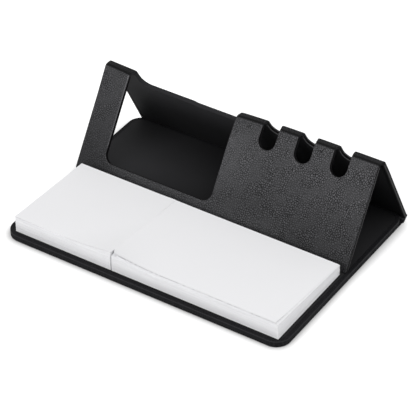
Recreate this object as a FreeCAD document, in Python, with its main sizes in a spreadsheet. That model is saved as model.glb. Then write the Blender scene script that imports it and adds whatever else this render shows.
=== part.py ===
import FreeCAD, Part
import math
import os
import Sketcher

# Folding memo organizer: boards wrapped in faux leather, a base with two note pads and a cover folded
# into a tent. +X runs along the length, +Y from the pads to the rear hinge and +Z up.
# The origin is the middle of the footprint.

# Driving sizes in millimetres, the hinge's slope in degrees
SIZES = {
    # the wrapped base
    "base_length": 214.4,
    "base_depth": 154.8,
    "base_corner": 8.0,
    "base_board_thick": 4.0,
    # the sheets that wrap and line the boards
    "skin_thick": 0.8,
    "lining_thick": 0.5,
    "turn_in": 3.0,
    "edge_round": 1.2,
    # the cover's two panels and the leather folds that join them
    "panel_board_thick": 1.7,
    "rear_length": 73.4,
    "front_length": 73.2,
    "foot_corner": 2.0,
    "foot_clearance": 0.2,
    "foot_gap": 5.0,
    "hinge_width": 5.56,
    "hinge_inset": 3.0,
    "ridge_width": 5.64,
    "hinge_slope": 37.2,
    # the phone window, open at the ridge
    "window_left": 20.4,
    "window_width": 85.4,
    "window_corner": 7.0,
    "window_front_depth": 63.5,
    "window_rear_depth": 16.1,
    # the pen slots, open at the ridge
    "slot_width": 14.0,
    "slot_first": 132.7,
    "slot_pitch": 27.6,
    "slot_front_depth": 16.9,
    "slot_rear_depth": 14.5,
    # the note pads
    "small_pad_length": 76.5,
    "large_pad_length": 127.5,
    "pad_depth": 76.0,
    "pad_gap": 0.7,
    "pad_left_margin": 6.0,
    "pad_front_margin": 2.5,
    "pad_front_height": 12.3,
    "pad_back_height": 7.6,
    "glue_band": 15.0,
    "sheet_thick": 0.12,
    "backing_thick": 0.4,
    "tape_thick": 0.2,
    "tape_inset": 6.0,
    # the hidden discs that hold the foot down
    "magnet_radius": 5.0,
    "magnet_thick": 1.2,
    "magnet_end_inset": 10.2,
    "magnet_foot_inset": 8.0,
    "keeper_radius": 6.0,
    "keeper_thick": 1.0,
    "disc_clearance": 0.1,
    # how far every cut runs past what it cuts
    "overrun": 2.0,
}
SLOT_COUNT = 3
SHAPE_TOLERANCE = 1e-6
TURN_AXIS = FreeCAD.Vector(1, 0, 0)

doc = FreeCAD.newDocument("memo_organizer")


def fill_sheet(name, values):
    """Writes one named number per row and reads the numbers back."""
    sheet = doc.addObject("Spreadsheet::Sheet", name)
    for row, (alias, value) in enumerate(values.items(), start=1):
        sheet.set(f"A{row}", alias)
        sheet.set(f"B{row}", repr(float(value)))
        sheet.setAlias(f"B{row}", alias)
    doc.recompute()
    return {alias: float(sheet.get(alias)) for alias in values}


def along(slope, length):
    """A step in the YZ plane, as a vector."""
    return FreeCAD.Vector(0, length * math.cos(slope), length * math.sin(slope))


def work_out_layout(size):
    """Places the creases and the foot from the driving sizes."""
    hinge_slope = math.radians(size["hinge_slope"])
    leg = size["skin_thick"]
    panel_thick = size["skin_thick"] + size["panel_board_thick"] + size["lining_thick"]
    base_thick = size["skin_thick"] + size["base_board_thick"] + size["lining_thick"]
    half_depth = (size["base_depth"] + size["hinge_width"] * math.cos(hinge_slope)) / 2
    base_rear = FreeCAD.Vector(0, size["base_depth"] - half_depth, 0)
    rear_foot = base_rear + along(hinge_slope, size["hinge_width"])
    # the front panel stands on the rounded inner edge of its foot, behind the pads
    pads_back = size["pad_front_margin"] + size["pad_depth"] - half_depth
    foot_height = base_thick + size["foot_clearance"] + size["edge_round"]
    foot = FreeCAD.Vector(0, pads_back + size["foot_gap"], foot_height)
    reach = size["front_length"] - size["edge_round"]
    offset = panel_thick - size["edge_round"]
    front_bar = math.hypot(reach, offset)
    # the flat ridge moved out of the way, the two panels make a triangle over the base
    span = foot + FreeCAD.Vector(0, size["ridge_width"], 0) - rear_foot
    square = size["rear_length"] ** 2 + span.Length ** 2 - front_bar ** 2
    corner = math.acos(square / (2 * size["rear_length"] * span.Length))
    rear_slope = corner + math.atan2(span.z, -span.y)
    rear_top = rear_foot + along(math.pi - rear_slope, size["rear_length"])
    front_top = rear_top - FreeCAD.Vector(0, size["ridge_width"], 0)
    front_slope = math.asin((front_top.z - foot.z) / front_bar) - math.atan2(offset, reach)
    rear_start = rear_foot + along(math.pi - rear_slope, leg)
    front_start = front_top + along(math.pi + front_slope, leg)
    magnet_down = size["front_length"] - leg - size["magnet_foot_inset"]
    magnet_in = size["skin_thick"] + size["panel_board_thick"]
    magnet = front_start + along(math.pi + front_slope, magnet_down)
    magnet += along(front_slope - math.pi / 2, magnet_in)
    numbers = {
        "base_thick": base_thick,
        "panel_thick": panel_thick,
        "base_turn": 0,
        "base_y": -half_depth,
        "base_z": 0,
        "rear_turn": 180 - math.degrees(rear_slope),
        "rear_y": rear_start.y,
        "rear_z": rear_start.z,
        "front_turn": 180 + math.degrees(front_slope),
        "front_y": front_start.y,
        "front_z": front_start.z,
        "rear_panel_depth": size["rear_length"] - 2 * leg,
        "front_panel_depth": size["front_length"] - leg,
        "keeper_y": magnet.y + half_depth,
    }
    creases = {"base_rear": base_rear, "rear_foot": rear_foot, "rear_top": rear_top, "front_top": front_top}
    return numbers, creases, rear_slope, hinge_slope, front_slope


sizes = fill_sheet("Sizes", SIZES)
layout_numbers, creases, rear_slope, hinge_slope, front_slope = work_out_layout(sizes)
layout = fill_sheet("Layout", layout_numbers)


def bind(item, **expressions):
    """Binds properties of an object to the sheets."""
    for prop, text in expressions.items():
        item.setExpression(prop.replace("__", "."), text)


def place_on(item, panel):
    """Lays a flat-built piece onto the base, the rear panel or the front panel."""
    turn = FreeCAD.Rotation(TURN_AXIS, layout[panel + "_turn"])
    start = FreeCAD.Vector(0, layout[panel + "_y"], layout[panel + "_z"])
    item.Placement = FreeCAD.Placement(start, turn)
    bind(item, Placement__Base__y=f"Layout.{panel}_y", Placement__Base__z=f"Layout.{panel}_z")
    if layout[panel + "_turn"]:
        bind(item, Placement__Rotation__Angle=f"Layout.{panel}_turn")
    return item


def edge_names(shape, wanted):
    """Names the edges of a shape that a test picks."""
    return [f"Edge{number}" for number, edge in enumerate(shape.Edges, start=1) if wanted(edge)]


def stands_up(edge):
    """True for an edge square to the sheet."""
    return edge.BoundBox.XLength + edge.BoundBox.YLength < SHAPE_TOLERANCE


def lies_flat(edge):
    """True for an edge in one plane along the sheet."""
    return edge.BoundBox.ZLength < SHAPE_TOLERANCE


def runs_up(edge):
    """True for an edge along the panel's own Y."""
    return edge.BoundBox.XLength < SHAPE_TOLERANCE


def past_ridge(edge):
    """True for an edge that leaves the panel's ridge end."""
    return edge.BoundBox.YMax > SHAPE_TOLERANCE


def round_edges(body, name, radius, wanted):
    """Rounds the picked edges of a body's last feature."""
    doc.recompute()
    last = body.Tip
    fillet = body.newObject("PartDesign::Fillet", name)
    fillet.Base = (last, edge_names(last.Shape, wanted))
    bind(fillet, Radius=radius)
    doc.recompute()
    return fillet


def slab(label, inset, depth, low, thick):
    """A flat body as long as the base, drawn in by an inset on all four sides."""
    body = doc.addObject("PartDesign::Body", label)
    box = body.newObject("PartDesign::AdditiveBox", label + "_sheet")
    bind(
        box,
        Length=f"Sizes.base_length - 2 * ({inset})",
        Width=f"{depth} - 2 * ({inset})",
        Height=thick,
        Placement__Base__x=f"{inset} - Sizes.base_length / 2",
        Placement__Base__y=inset,
        Placement__Base__z=low,
    )
    return body


def part_box(label, left, front, low, length, width, height):
    """A plain box bound to the sheets."""
    box = doc.addObject("Part::Box", label)
    bind(
        box,
        Length=length,
        Width=width,
        Height=height,
        Placement__Base__x=left,
        Placement__Base__y=front,
        Placement__Base__z=low,
    )
    return box


def part_disc(label, centre_x, centre_y, low, radius, height):
    """An upright round disc bound to the sheets."""
    disc = doc.addObject("Part::Cylinder", label)
    bind(
        disc,
        Radius=radius,
        Height=height,
        Placement__Base__x=centre_x,
        Placement__Base__y=centre_y,
        Placement__Base__z=low,
    )
    return disc


def union(label, pieces):
    """Several shapes as one."""
    fuse = doc.addObject("Part::MultiFuse", label)
    fuse.Shapes = pieces
    return fuse


def cut(label, base, tool):
    """One shape with another taken out of it."""
    result = doc.addObject("Part::Cut", label)
    result.Base = base
    result.Tool = tool
    return result


def slot_centre(number):
    """Where a pen slot's middle is, along X."""
    return f"Sizes.slot_first + {number} * Sizes.slot_pitch - Sizes.base_length / 2"


def cutters(panel, window_depth, slot_depth):
    """The window and the slots of one panel, each reaching its depth from the panel's ridge end."""
    through = "Layout.panel_thick + 2 * Sizes.overrun"
    low = "-Sizes.overrun"
    left = "Sizes.window_left - Sizes.base_length / 2"
    corner = "Sizes.window_corner"
    radius = "Sizes.slot_width / 2"
    window_end = f"({window_depth} - Sizes.skin_thick)"
    slot_end = f"({slot_depth} - Sizes.skin_thick)"

    def span(reach):
        """Start and length of a cut from past the ridge end to a reach."""
        if panel == "front":
            return "-Sizes.overrun", f"{reach} + Sizes.overrun"
        return f"Layout.rear_panel_depth - ({reach})", f"{reach} + Sizes.overrun"

    def inward(reach):
        """A place at a reach from the ridge end."""
        if panel == "front":
            return reach
        return f"Layout.rear_panel_depth - ({reach})"

    wide_start, wide_length = span(f"{window_end} - {corner}")
    deep_start, deep_length = span(window_end)
    round_line = inward(f"{window_end} - {corner}")
    wide = part_box(f"{panel}_window_wide", left, wide_start, low, "Sizes.window_width", wide_length, through)
    narrow = f"Sizes.window_width - 2 * {corner}"
    near = f"{left} + {corner}"
    deep = part_box(f"{panel}_window_deep", near, deep_start, low, narrow, deep_length, through)
    first = part_disc(f"{panel}_window_corner_a", near, round_line, low, corner, through)
    far = f"{left} + Sizes.window_width - {corner}"
    second = part_disc(f"{panel}_window_corner_b", far, round_line, low, corner, through)
    pieces = [wide, deep, first, second]
    slot_start, slot_length = span(f"{slot_end} - {radius}")
    slot_line = inward(f"{slot_end} - {radius}")
    for number in range(SLOT_COUNT):
        centre = slot_centre(number)
        name = f"{panel}_slot_{number + 1}"
        side = f"{centre} - {radius}"
        run = part_box(name + "_run", side, slot_start, low, "Sizes.slot_width", slot_length, through)
        end = part_disc(name + "_end", centre, slot_line, low, radius, through)
        pieces += [run, end]
    return place_on(union(f"{panel}_cutters", pieces), panel)


def disc_pair(label, panel, across, low, radius, thick):
    """Two like discs, one near each end of a panel."""
    reach = "Sizes.base_length / 2 - Sizes.magnet_end_inset"
    left = part_disc(label + "_left", f"-({reach})", across, low, radius, thick)
    right = part_disc(label + "_right", reach, across, low, radius, thick)
    return place_on(union(label, [left, right]), panel)


def build_base():
    """Base board, its wrapped skin, its lining and the keeper discs in the board."""
    board_top = "Sizes.skin_thick + Sizes.base_board_thick"
    board = slab("base_board_block", "Sizes.skin_thick", "Sizes.base_depth", "Sizes.skin_thick",
                 "Sizes.base_board_thick")
    round_edges(board, "board_corners", "Sizes.base_corner - Sizes.skin_thick", stands_up)
    lining = slab("base_lining", "Sizes.turn_in", "Sizes.base_depth", board_top, "Sizes.lining_thick")
    round_edges(lining, "lining_corners", "Sizes.base_corner - Sizes.turn_in", stands_up)
    wrap = slab("base_wrap", "0", "Sizes.base_depth", "0", "Layout.base_thick")
    round_edges(wrap, "wrap_corners", "Sizes.base_corner", stands_up)
    round_edges(wrap, "wrap_rim", "Sizes.edge_round", lies_flat)
    low = f"{board_top} - Sizes.keeper_thick"
    keepers = disc_pair("keeper_discs", "base", "Layout.keeper_y", low, "Sizes.keeper_radius",
                        "Sizes.keeper_thick")
    pockets = disc_pair("keeper_pockets", "base", "Layout.keeper_y", low,
                        "Sizes.keeper_radius + Sizes.disc_clearance", "Sizes.keeper_thick")
    for piece in (board, lining, wrap):
        place_on(piece, "base")
    skin = cut("base_skin", wrap, union("base_core", [board, lining]))
    return [skin, cut("base_board", board, pockets), lining, keepers]


def build_rear():
    """Rear panel: board, skin and lining with the window's and the slots' short ends."""
    depth = "Layout.rear_panel_depth"
    board_top = "Sizes.skin_thick + Sizes.panel_board_thick"
    skin_in = "Sizes.skin_thick"
    board = slab("rear_board_block", skin_in, depth, skin_in, "Sizes.panel_board_thick")
    lining = slab("rear_lining_block", "Sizes.turn_in", depth, board_top, "Sizes.lining_thick")
    wrap = slab("rear_wrap", "0", depth, "0", "Layout.panel_thick")
    round_edges(wrap, "rear_rim", "Sizes.edge_round", lambda edge: lies_flat(edge) and runs_up(edge))
    holes = cutters("rear", "Sizes.window_rear_depth", "Sizes.slot_rear_depth")
    for piece in (board, lining, wrap):
        place_on(piece, "rear")
    skin = cut("rear_skin", wrap, union("rear_core", [board, lining, holes]))
    return [skin, cut("rear_board", board, holes), cut("rear_lining", lining, holes)]


def build_front():
    """Front panel: board, skin and lining with window and slots, and the magnets in the board's foot."""
    depth = "Layout.front_panel_depth"
    board_top = "Sizes.skin_thick + Sizes.panel_board_thick"
    skin_in = "Sizes.skin_thick"
    board = slab("front_board_block", skin_in, depth, skin_in, "Sizes.panel_board_thick")
    lining = slab("front_lining_block", "Sizes.turn_in", depth, board_top, "Sizes.lining_thick")
    wrap = slab("front_wrap", "0", depth, "0", "Layout.panel_thick")
    round_edges(wrap, "foot_corners", "Sizes.foot_corner", lambda edge: stands_up(edge) and past_ridge(edge))
    round_edges(wrap, "front_rim", "Sizes.edge_round", lambda edge: lies_flat(edge) and past_ridge(edge))
    holes = cutters("front", "Sizes.window_front_depth", "Sizes.slot_front_depth")
    across = "Layout.front_panel_depth - Sizes.magnet_foot_inset"
    low = f"{board_top} - Sizes.magnet_thick"
    magnets = disc_pair("foot_magnets", "front", across, low, "Sizes.magnet_radius", "Sizes.magnet_thick")
    pockets = disc_pair("magnet_pockets", "front", across, low, "Sizes.magnet_radius + Sizes.disc_clearance",
                        "Sizes.magnet_thick")
    for piece in (board, lining, wrap):
        place_on(piece, "front")
    skin = cut("front_skin", wrap, union("front_core", [board, lining, holes]))
    front_board = cut("front_board", board, union("front_board_cuts", [holes, pockets]))
    return [skin, front_board, cut("front_lining", lining, holes), magnets]


def bend(before, after):
    """The step from an outer fold line to the inner one, for a sheet of unit thickness."""
    return (before + after) * (1 / (1 + before.dot(after)))


def leather_strip(label, outer, steps, length):
    """A leather fold: an outer line of points and, one skin further in, an inner line, carried along X."""
    inner = [point + step * sizes["skin_thick"] for point, step in zip(outer, steps)]
    outline = Part.makePolygon(outer + inner[::-1] + outer[:1])
    strip = doc.addObject("Part::Feature", label)
    strip.Shape = Part.Face(outline).extrude(FreeCAD.Vector(length, 0, 0))
    strip.Placement = FreeCAD.Placement(FreeCAD.Vector(-length / 2, 0, 0), FreeCAD.Rotation())
    return strip


def build_folds():
    """The hinge leather behind the base and the ridge leather, which window and slots part into tabs."""
    leg = sizes["skin_thick"]
    up_rear = along(math.pi - rear_slope, leg)
    down_front = along(math.pi + front_slope, leg)
    into_rear = along(math.pi * 3 / 2 - rear_slope, 1)
    into_front = along(front_slope - math.pi / 2, 1)
    into_hinge = along(math.pi / 2 + hinge_slope, 1)
    down = FreeCAD.Vector(0, 0, -1)
    # the hinge leather starts upright at the base's rear face
    upright = FreeCAD.Vector(0, 0, 1 / math.cos(hinge_slope))
    hinge_line = [creases["base_rear"], creases["rear_foot"], creases["rear_foot"] + up_rear]
    hinge_steps = [upright, bend(into_hinge, into_rear), into_rear]
    hinge_length = sizes["base_length"] - 2 * sizes["hinge_inset"]
    hinge = leather_strip("hinge_leather", hinge_line, hinge_steps, hinge_length)
    rear_top = creases["rear_top"]
    front_top = creases["front_top"]
    ridge_line = [rear_top - up_rear, rear_top, front_top, front_top + down_front]
    ridge_steps = [into_rear, bend(into_rear, down), bend(down, into_front), into_front]
    strip = leather_strip("ridge_strip", ridge_line, ridge_steps, sizes["base_length"])
    return [hinge, cut("ridge_leather", strip, ridge_gaps())]


def ridge_gaps():
    """Boxes across the ridge where the window and the slots pass through it."""
    front = "Layout.front_y - Sizes.overrun"
    width = "Sizes.ridge_width + 2 * Sizes.skin_thick + 2 * Sizes.overrun"
    low = "Layout.front_z - Sizes.overrun"
    height = "Sizes.skin_thick + 2 * Sizes.overrun"
    window_left = "Sizes.window_left - Sizes.base_length / 2"
    gaps = [part_box("ridge_window", window_left, front, low, "Sizes.window_width", width, height)]
    for number in range(SLOT_COUNT):
        left = f"{slot_centre(number)} - Sizes.slot_width / 2"
        gaps.append(part_box(f"ridge_slot_{number + 1}", left, front, low, "Sizes.slot_width", width, height))
    return union("ridge_gaps", gaps)


def side_profile(body, name, left, points):
    """A closed outline in the YZ plane; each point is a pair of texts, across and up."""
    sketch = body.newObject("Sketcher::SketchObject", name)
    plane = next(item for item in body.Origin.OriginFeatures if item.Role == "YZ_Plane")
    sketch.AttachmentSupport = [(plane, "")]
    sketch.MapMode = "FlatFace"
    bind(sketch, AttachmentOffset__Base__z=left)
    count = len(points)
    turns = [math.tau * number / count for number in range(count)]
    ring = [FreeCAD.Vector(math.cos(turn), math.sin(turn), 0) for turn in turns]
    for number in range(count):
        sketch.addGeometry(Part.LineSegment(ring[number], ring[(number + 1) % count]), False)
    for number in range(count):
        sketch.addConstraint(Sketcher.Constraint("Coincident", number, 2, (number + 1) % count, 1))
    for number, (across, up) in enumerate(points):
        for kind, word, text in (("DistanceX", "across", across), ("DistanceY", "up", up)):
            index = sketch.addConstraint(Sketcher.Constraint(kind, -1, 1, number, 1, 0))
            sketch.renameConstraint(index, f"{word}_{number}")
            bind(sketch, **{f"Constraints__{word}_{number}": text})
    doc.recompute()
    return sketch


def profile_body(label, left, length, points):
    """A body with one side profile carried along X."""
    body = doc.addObject("PartDesign::Body", label)
    sketch = side_profile(body, label + "_side", left, points)
    pad = body.newObject("PartDesign::Pad", label + "_run")
    pad.Profile = sketch
    bind(pad, Length=length)
    doc.recompute()
    return body


def build_pad(prefix, left, length):
    """One note pad: mounting tape, backing card, glued stack and the loose part of the top sheet."""
    front = "Sizes.pad_front_margin"
    back = f"{front} + Sizes.pad_depth"
    tape_low = "Layout.base_thick"
    card_low = f"{tape_low} + Sizes.tape_thick"
    stack_low = f"{card_low} + Sizes.backing_thick"
    front_top = "Layout.base_thick + Sizes.pad_front_height"
    back_top = "Layout.base_thick + Sizes.pad_back_height"
    slope = "(Sizes.pad_front_height - Sizes.pad_back_height) / Sizes.pad_depth"
    band_front = f"{back} - Sizes.glue_band"
    band_top = f"{back_top} + Sizes.glue_band * {slope}"
    inset = "Sizes.tape_inset"
    tape = part_box(f"{prefix}_tape", f"{left} + {inset}", f"{front} + {inset} + Layout.base_y", tape_low,
                    f"{length} - 2 * {inset}", f"Sizes.pad_depth - 2 * {inset}", "Sizes.tape_thick")
    card = part_box(f"{prefix}_backing", left, f"{front} + Layout.base_y", card_low,
                    length, "Sizes.pad_depth", "Sizes.backing_thick")
    under = "Sizes.sheet_thick"
    stack = profile_body(f"{prefix}_sheets", left, length, [
        (front, stack_low),
        (back, stack_low),
        (back, back_top),
        (band_front, band_top),
        (band_front, f"{band_top} - {under}"),
        (front, f"{front_top} - {under}"),
    ])
    flap = profile_body(f"{prefix}_top_sheet", left, length, [
        (front, f"{front_top} - {under}"),
        (band_front, f"{band_top} - {under}"),
        (band_front, band_top),
        (front, front_top),
    ])
    for body in (stack, flap):
        place_on(body, "base")
    return [tape, card, stack, flap]


def check(nodes):
    """Stops the build if any object failed or any sub-part isn't a sound solid."""
    doc.recompute()
    for item in doc.Objects:
        if "Invalid" in item.State or "Error" in item.State:
            raise RuntimeError(f"{item.Label} failed: {item.State}")
    for node in nodes:
        if node.Shape.isNull() or not node.Shape.isValid() or not node.Shape.Solids:
            raise RuntimeError(f"{node.Label} is not a valid solid")


def main():
    """Builds every sub-part, checks them and writes one file each."""
    small_left = "Sizes.pad_left_margin - Sizes.base_length / 2"
    large_left = f"{small_left} + Sizes.small_pad_length + Sizes.pad_gap"
    nodes = build_base() + build_rear() + build_front() + build_folds()
    nodes += build_pad("small_pad", small_left, "Sizes.small_pad_length")
    nodes += build_pad("large_pad", large_left, "Sizes.large_pad_length")
    check(nodes)
    os.makedirs("parts", exist_ok=True)
    for node in nodes:
        node.Shape.exportStep(f"parts/{node.Label}.step")
        box = node.Shape.BoundBox
        print(f"{node.Label:22s} solids {len(node.Shape.Solids)} volume {node.Shape.Volume:10.2f}"
              f"  x {box.XMin:8.2f} {box.XMax:8.2f}  y {box.YMin:8.2f} {box.YMax:8.2f}"
              f"  z {box.ZMin:7.2f} {box.ZMax:7.2f}")


main()
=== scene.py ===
"""Looks of a folding memo organizer: a wrapped base with two note pads, and a cover folded into a tent."""
import math

import bmesh
import bpy
import numpy as np
from bpy.props import FloatProperty, FloatVectorProperty, IntProperty, PointerProperty
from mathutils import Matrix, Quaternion, Vector


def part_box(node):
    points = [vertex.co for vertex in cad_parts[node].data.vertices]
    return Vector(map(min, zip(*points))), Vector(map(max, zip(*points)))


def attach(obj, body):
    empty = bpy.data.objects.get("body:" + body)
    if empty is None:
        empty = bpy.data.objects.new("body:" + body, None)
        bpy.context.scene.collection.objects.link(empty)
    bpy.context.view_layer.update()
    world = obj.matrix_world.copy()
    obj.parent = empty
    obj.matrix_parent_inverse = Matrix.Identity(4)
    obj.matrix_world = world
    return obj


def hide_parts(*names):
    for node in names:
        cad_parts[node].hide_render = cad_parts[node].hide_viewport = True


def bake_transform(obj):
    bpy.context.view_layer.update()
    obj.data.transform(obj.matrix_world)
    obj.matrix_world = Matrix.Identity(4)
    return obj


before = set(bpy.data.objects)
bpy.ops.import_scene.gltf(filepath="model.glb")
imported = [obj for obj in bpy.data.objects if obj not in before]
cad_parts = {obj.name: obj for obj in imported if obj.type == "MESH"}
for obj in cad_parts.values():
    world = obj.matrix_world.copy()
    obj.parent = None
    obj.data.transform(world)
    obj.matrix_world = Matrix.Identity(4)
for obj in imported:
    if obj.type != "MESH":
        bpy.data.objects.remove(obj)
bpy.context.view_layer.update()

bl_info = {
    "name": "Memo organizer dresser",
    "version": (1, 0, 0),
    "blender": (4, 5, 0),
    "location": "3D View > Sidebar > Memo organizer",
    "description": "Dresses a folding memo organizer in leather and paper",
    "category": "Object",
}

FLAT_PLACE = "flat_place"
MERGE_DISTANCE = 2e-6
SHARP_ANGLE = math.radians(38)
BEVEL_ANGLE = math.radians(60)
BEVEL_SEGMENTS = 2
ARC_STEPS = 7
CORNER_STEPS = 15
DIGITS = 9
BLACK = (0, 0, 0)
WHITE = (1, 1, 1)


def length(name, default, description):
    """A size in metres that a user can change."""
    return FloatProperty(name=name, description=description, default=default, unit="LENGTH", precision=5)


def amount(name, default, description):
    """A plain number that a user can change."""
    return FloatProperty(name=name, description=description, default=default, precision=4)


def colour(name, default, description):
    """A colour that a user can change."""
    return FloatVectorProperty(name=name, description=description, default=default, subtype="COLOR",
                               min=0, max=1)


def count(name, default, description):
    """A whole number that a user can change."""
    return IntProperty(name=name, description=description, default=default, min=1)


def angle(name, degrees, description):
    """An angle that a user can change."""
    return FloatProperty(name=name, description=description, default=math.radians(degrees), subtype="ANGLE")


def point(name, default, description):
    """A place in metres that a user can change."""
    return FloatVectorProperty(name=name, description=description, default=default, subtype="XYZ",
                               unit="LENGTH")


class MEMO_PG_cover(bpy.types.PropertyGroup):
    """Sizes of the cover, its folds and its cut-outs."""
    leather: length("Leather", 0.0008, "Thickness of the leather")
    lining: length("Lining", 0.0005, "Thickness of the lining")
    fullness: length("Fullness", 0.0009, "How far the wrapped leather stands off the boards' ends")
    edge: length("Edge", 0.0009, "Radius of an edge that the leather goes round")
    turn_in: length("Turn-in", 0.003, "Width of the leather that is turned over an edge")
    crease: length("Crease", 0.0011, "How far a crease's bend reaches to each side")
    press: length("Press", 0.00035, "Depth of the line that is pressed along a crease")
    press_width: length("Press width", 0.0007, "Half the width of that line")
    ridge_thick: length("Ridge", 0.0016, "Thickness of the ridge, which has no board")
    ridge_end_thick: length("Ridge end", 0.002, "Thickness of the ridge's turned-over ends")
    shoulder: length("Shoulder", 0.0015, "Width over which a panel thins out towards its crease")
    mitre: length("Mitre", 0.004, "Width over which the layers of a panel give way to the fold")
    board_gap: length("Board gap", 0.0016, "How far a board's end stays from its crease")
    board_inset: length("Board inset", 0.0032, "How far a board's sides stay from the wrapped edge")
    cut_edge: length("Cut edge", 0.00022, "Rounding of the cut edges")
    window_left: length("Window left", 0.0192, "From the cover's left end to the window")
    window_width: length("Window width", 0.0866, "Width of the phone window")
    window_corner: length("Window corner", 0.007, "Radius of the window's corners")
    window_front: length("Window front", 0.0635, "How far the window goes down the front panel")
    window_rear: length("Window rear", 0.0150, "How far the window goes down the rear panel")
    slot_first: length("First slot", 0.1331, "From the cover's left end to the first pen slot's middle")
    slot_pitch: length("Slot pitch", 0.0276, "Distance between the pen slots")
    slot_width: length("Slot width", 0.0130, "Width of a pen slot")
    slot_front: length("Slot front", 0.0169, "How far a slot goes down the front panel")
    slot_rear: length("Slot rear", 0.0130, "How far a slot goes down the rear panel")
    slots: count("Slots", 3, "Number of pen slots")
    droop: length("Droop", 0.0021, "How far the ridge sags beside the window")
    rise: length("Rise", 0.0005, "How far the ridge rises towards its right end")
    droop_run: length("Droop run", 0.030, "Distance along the ridge over which the sag fades")
    post_droop: length("Post droop", 0.0008, "How far the front crease sags on the post left of the window")
    post_rise: length("Post rise", 0.0010, "How far the ridge rises towards its left end")
    post_run: length("Post run", 0.010, "Distance along the post over which its sag fades")
    end_droop: length("End droop", 0.0002, "How far the ridge bends down at a cut-out")
    end_run: length("End run", 0.0008, "Distance along the ridge over which that bend fades")
    end_fade: length("End fade", 0.005, "Distance down the panels over which that bend fades")
    droop_fade: length("Droop fade", 0.022, "Distance down the panels over which the sag fades")
    rear_shift: length("Rear shift", 0.0031, "How far the rear panel's left end stands in")
    rear_run: length("Rear run", 0.016, "Distance down the rear panel over which it does so")
    left_run: length("Left run", 0.026, "How much longer that distance is at the left end")
    slant: amount("Slant", 0.5, "Share of that by which the ridge stands in beside the window")
    slant_run: length("Slant run", 0.012, "Distance from the window's left side over which the ridge does so")
    rear_widen: length("Rear widening", 0.0005, "How far the rear panel's right end stands out")
    slot_slant: length("Slot slant", 0.0019, "How far the slots' right sides stand in on the rear panel")
    slot_run: length("Slot run", 0.005, "Distance from those sides over which they do so")
    front_shift: length("Front shift", 0.0015, "How far the front panel's right end stands in")
    front_lean: length("Front lean", 0.0007, "How far the front foot's left end stands out")
    foot_reach: length("Foot reach", 0.0012, "How far the leather of the front foot reaches past the panel")
    foot_rest: length("Foot rest", 0.00005, "Gap between the front foot and the lining it stands on")
    wave: length("Wave", 0.00006, "Height of the faint waves in the leather")
    wave_run: length("Wave run", 0.043, "Length of those waves")
    column: length("Column", 0.003, "Spacing of the mesh along the cover")
    row: length("Row", 0.003, "Spacing of the mesh down the panels")
    fold_row: length("Fold row", 0.00035, "Spacing of the mesh across the folds")


class MEMO_PG_base(bpy.types.PropertyGroup):
    """Sizes of the wrapped base."""
    corner: length("Corner", 0.0106, "Radius of the base's corners")
    fullness: length("Fullness", 0.0013, "How far the wrapped leather stands off the board's sides")
    edge: length("Edge", 0.0006, "Radius of the base's upper edges")
    foot_edge: length("Lower edge", 0.0013, "Radius of the base's lower edges")
    sole_corner: length("Sole corner", 0.0012, "Radius of the sole's rear corners, at the hinge")
    leather: length("Leather", 0.0008, "Thickness of the leather")
    lining: length("Lining", 0.0005, "Thickness of the lining")
    turn_in: length("Turn-in", 0.003, "Width of the leather that is turned over the edge")
    lining_round: length("Lining edge", 0.00012, "Rounding of the lining's edge")


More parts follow.
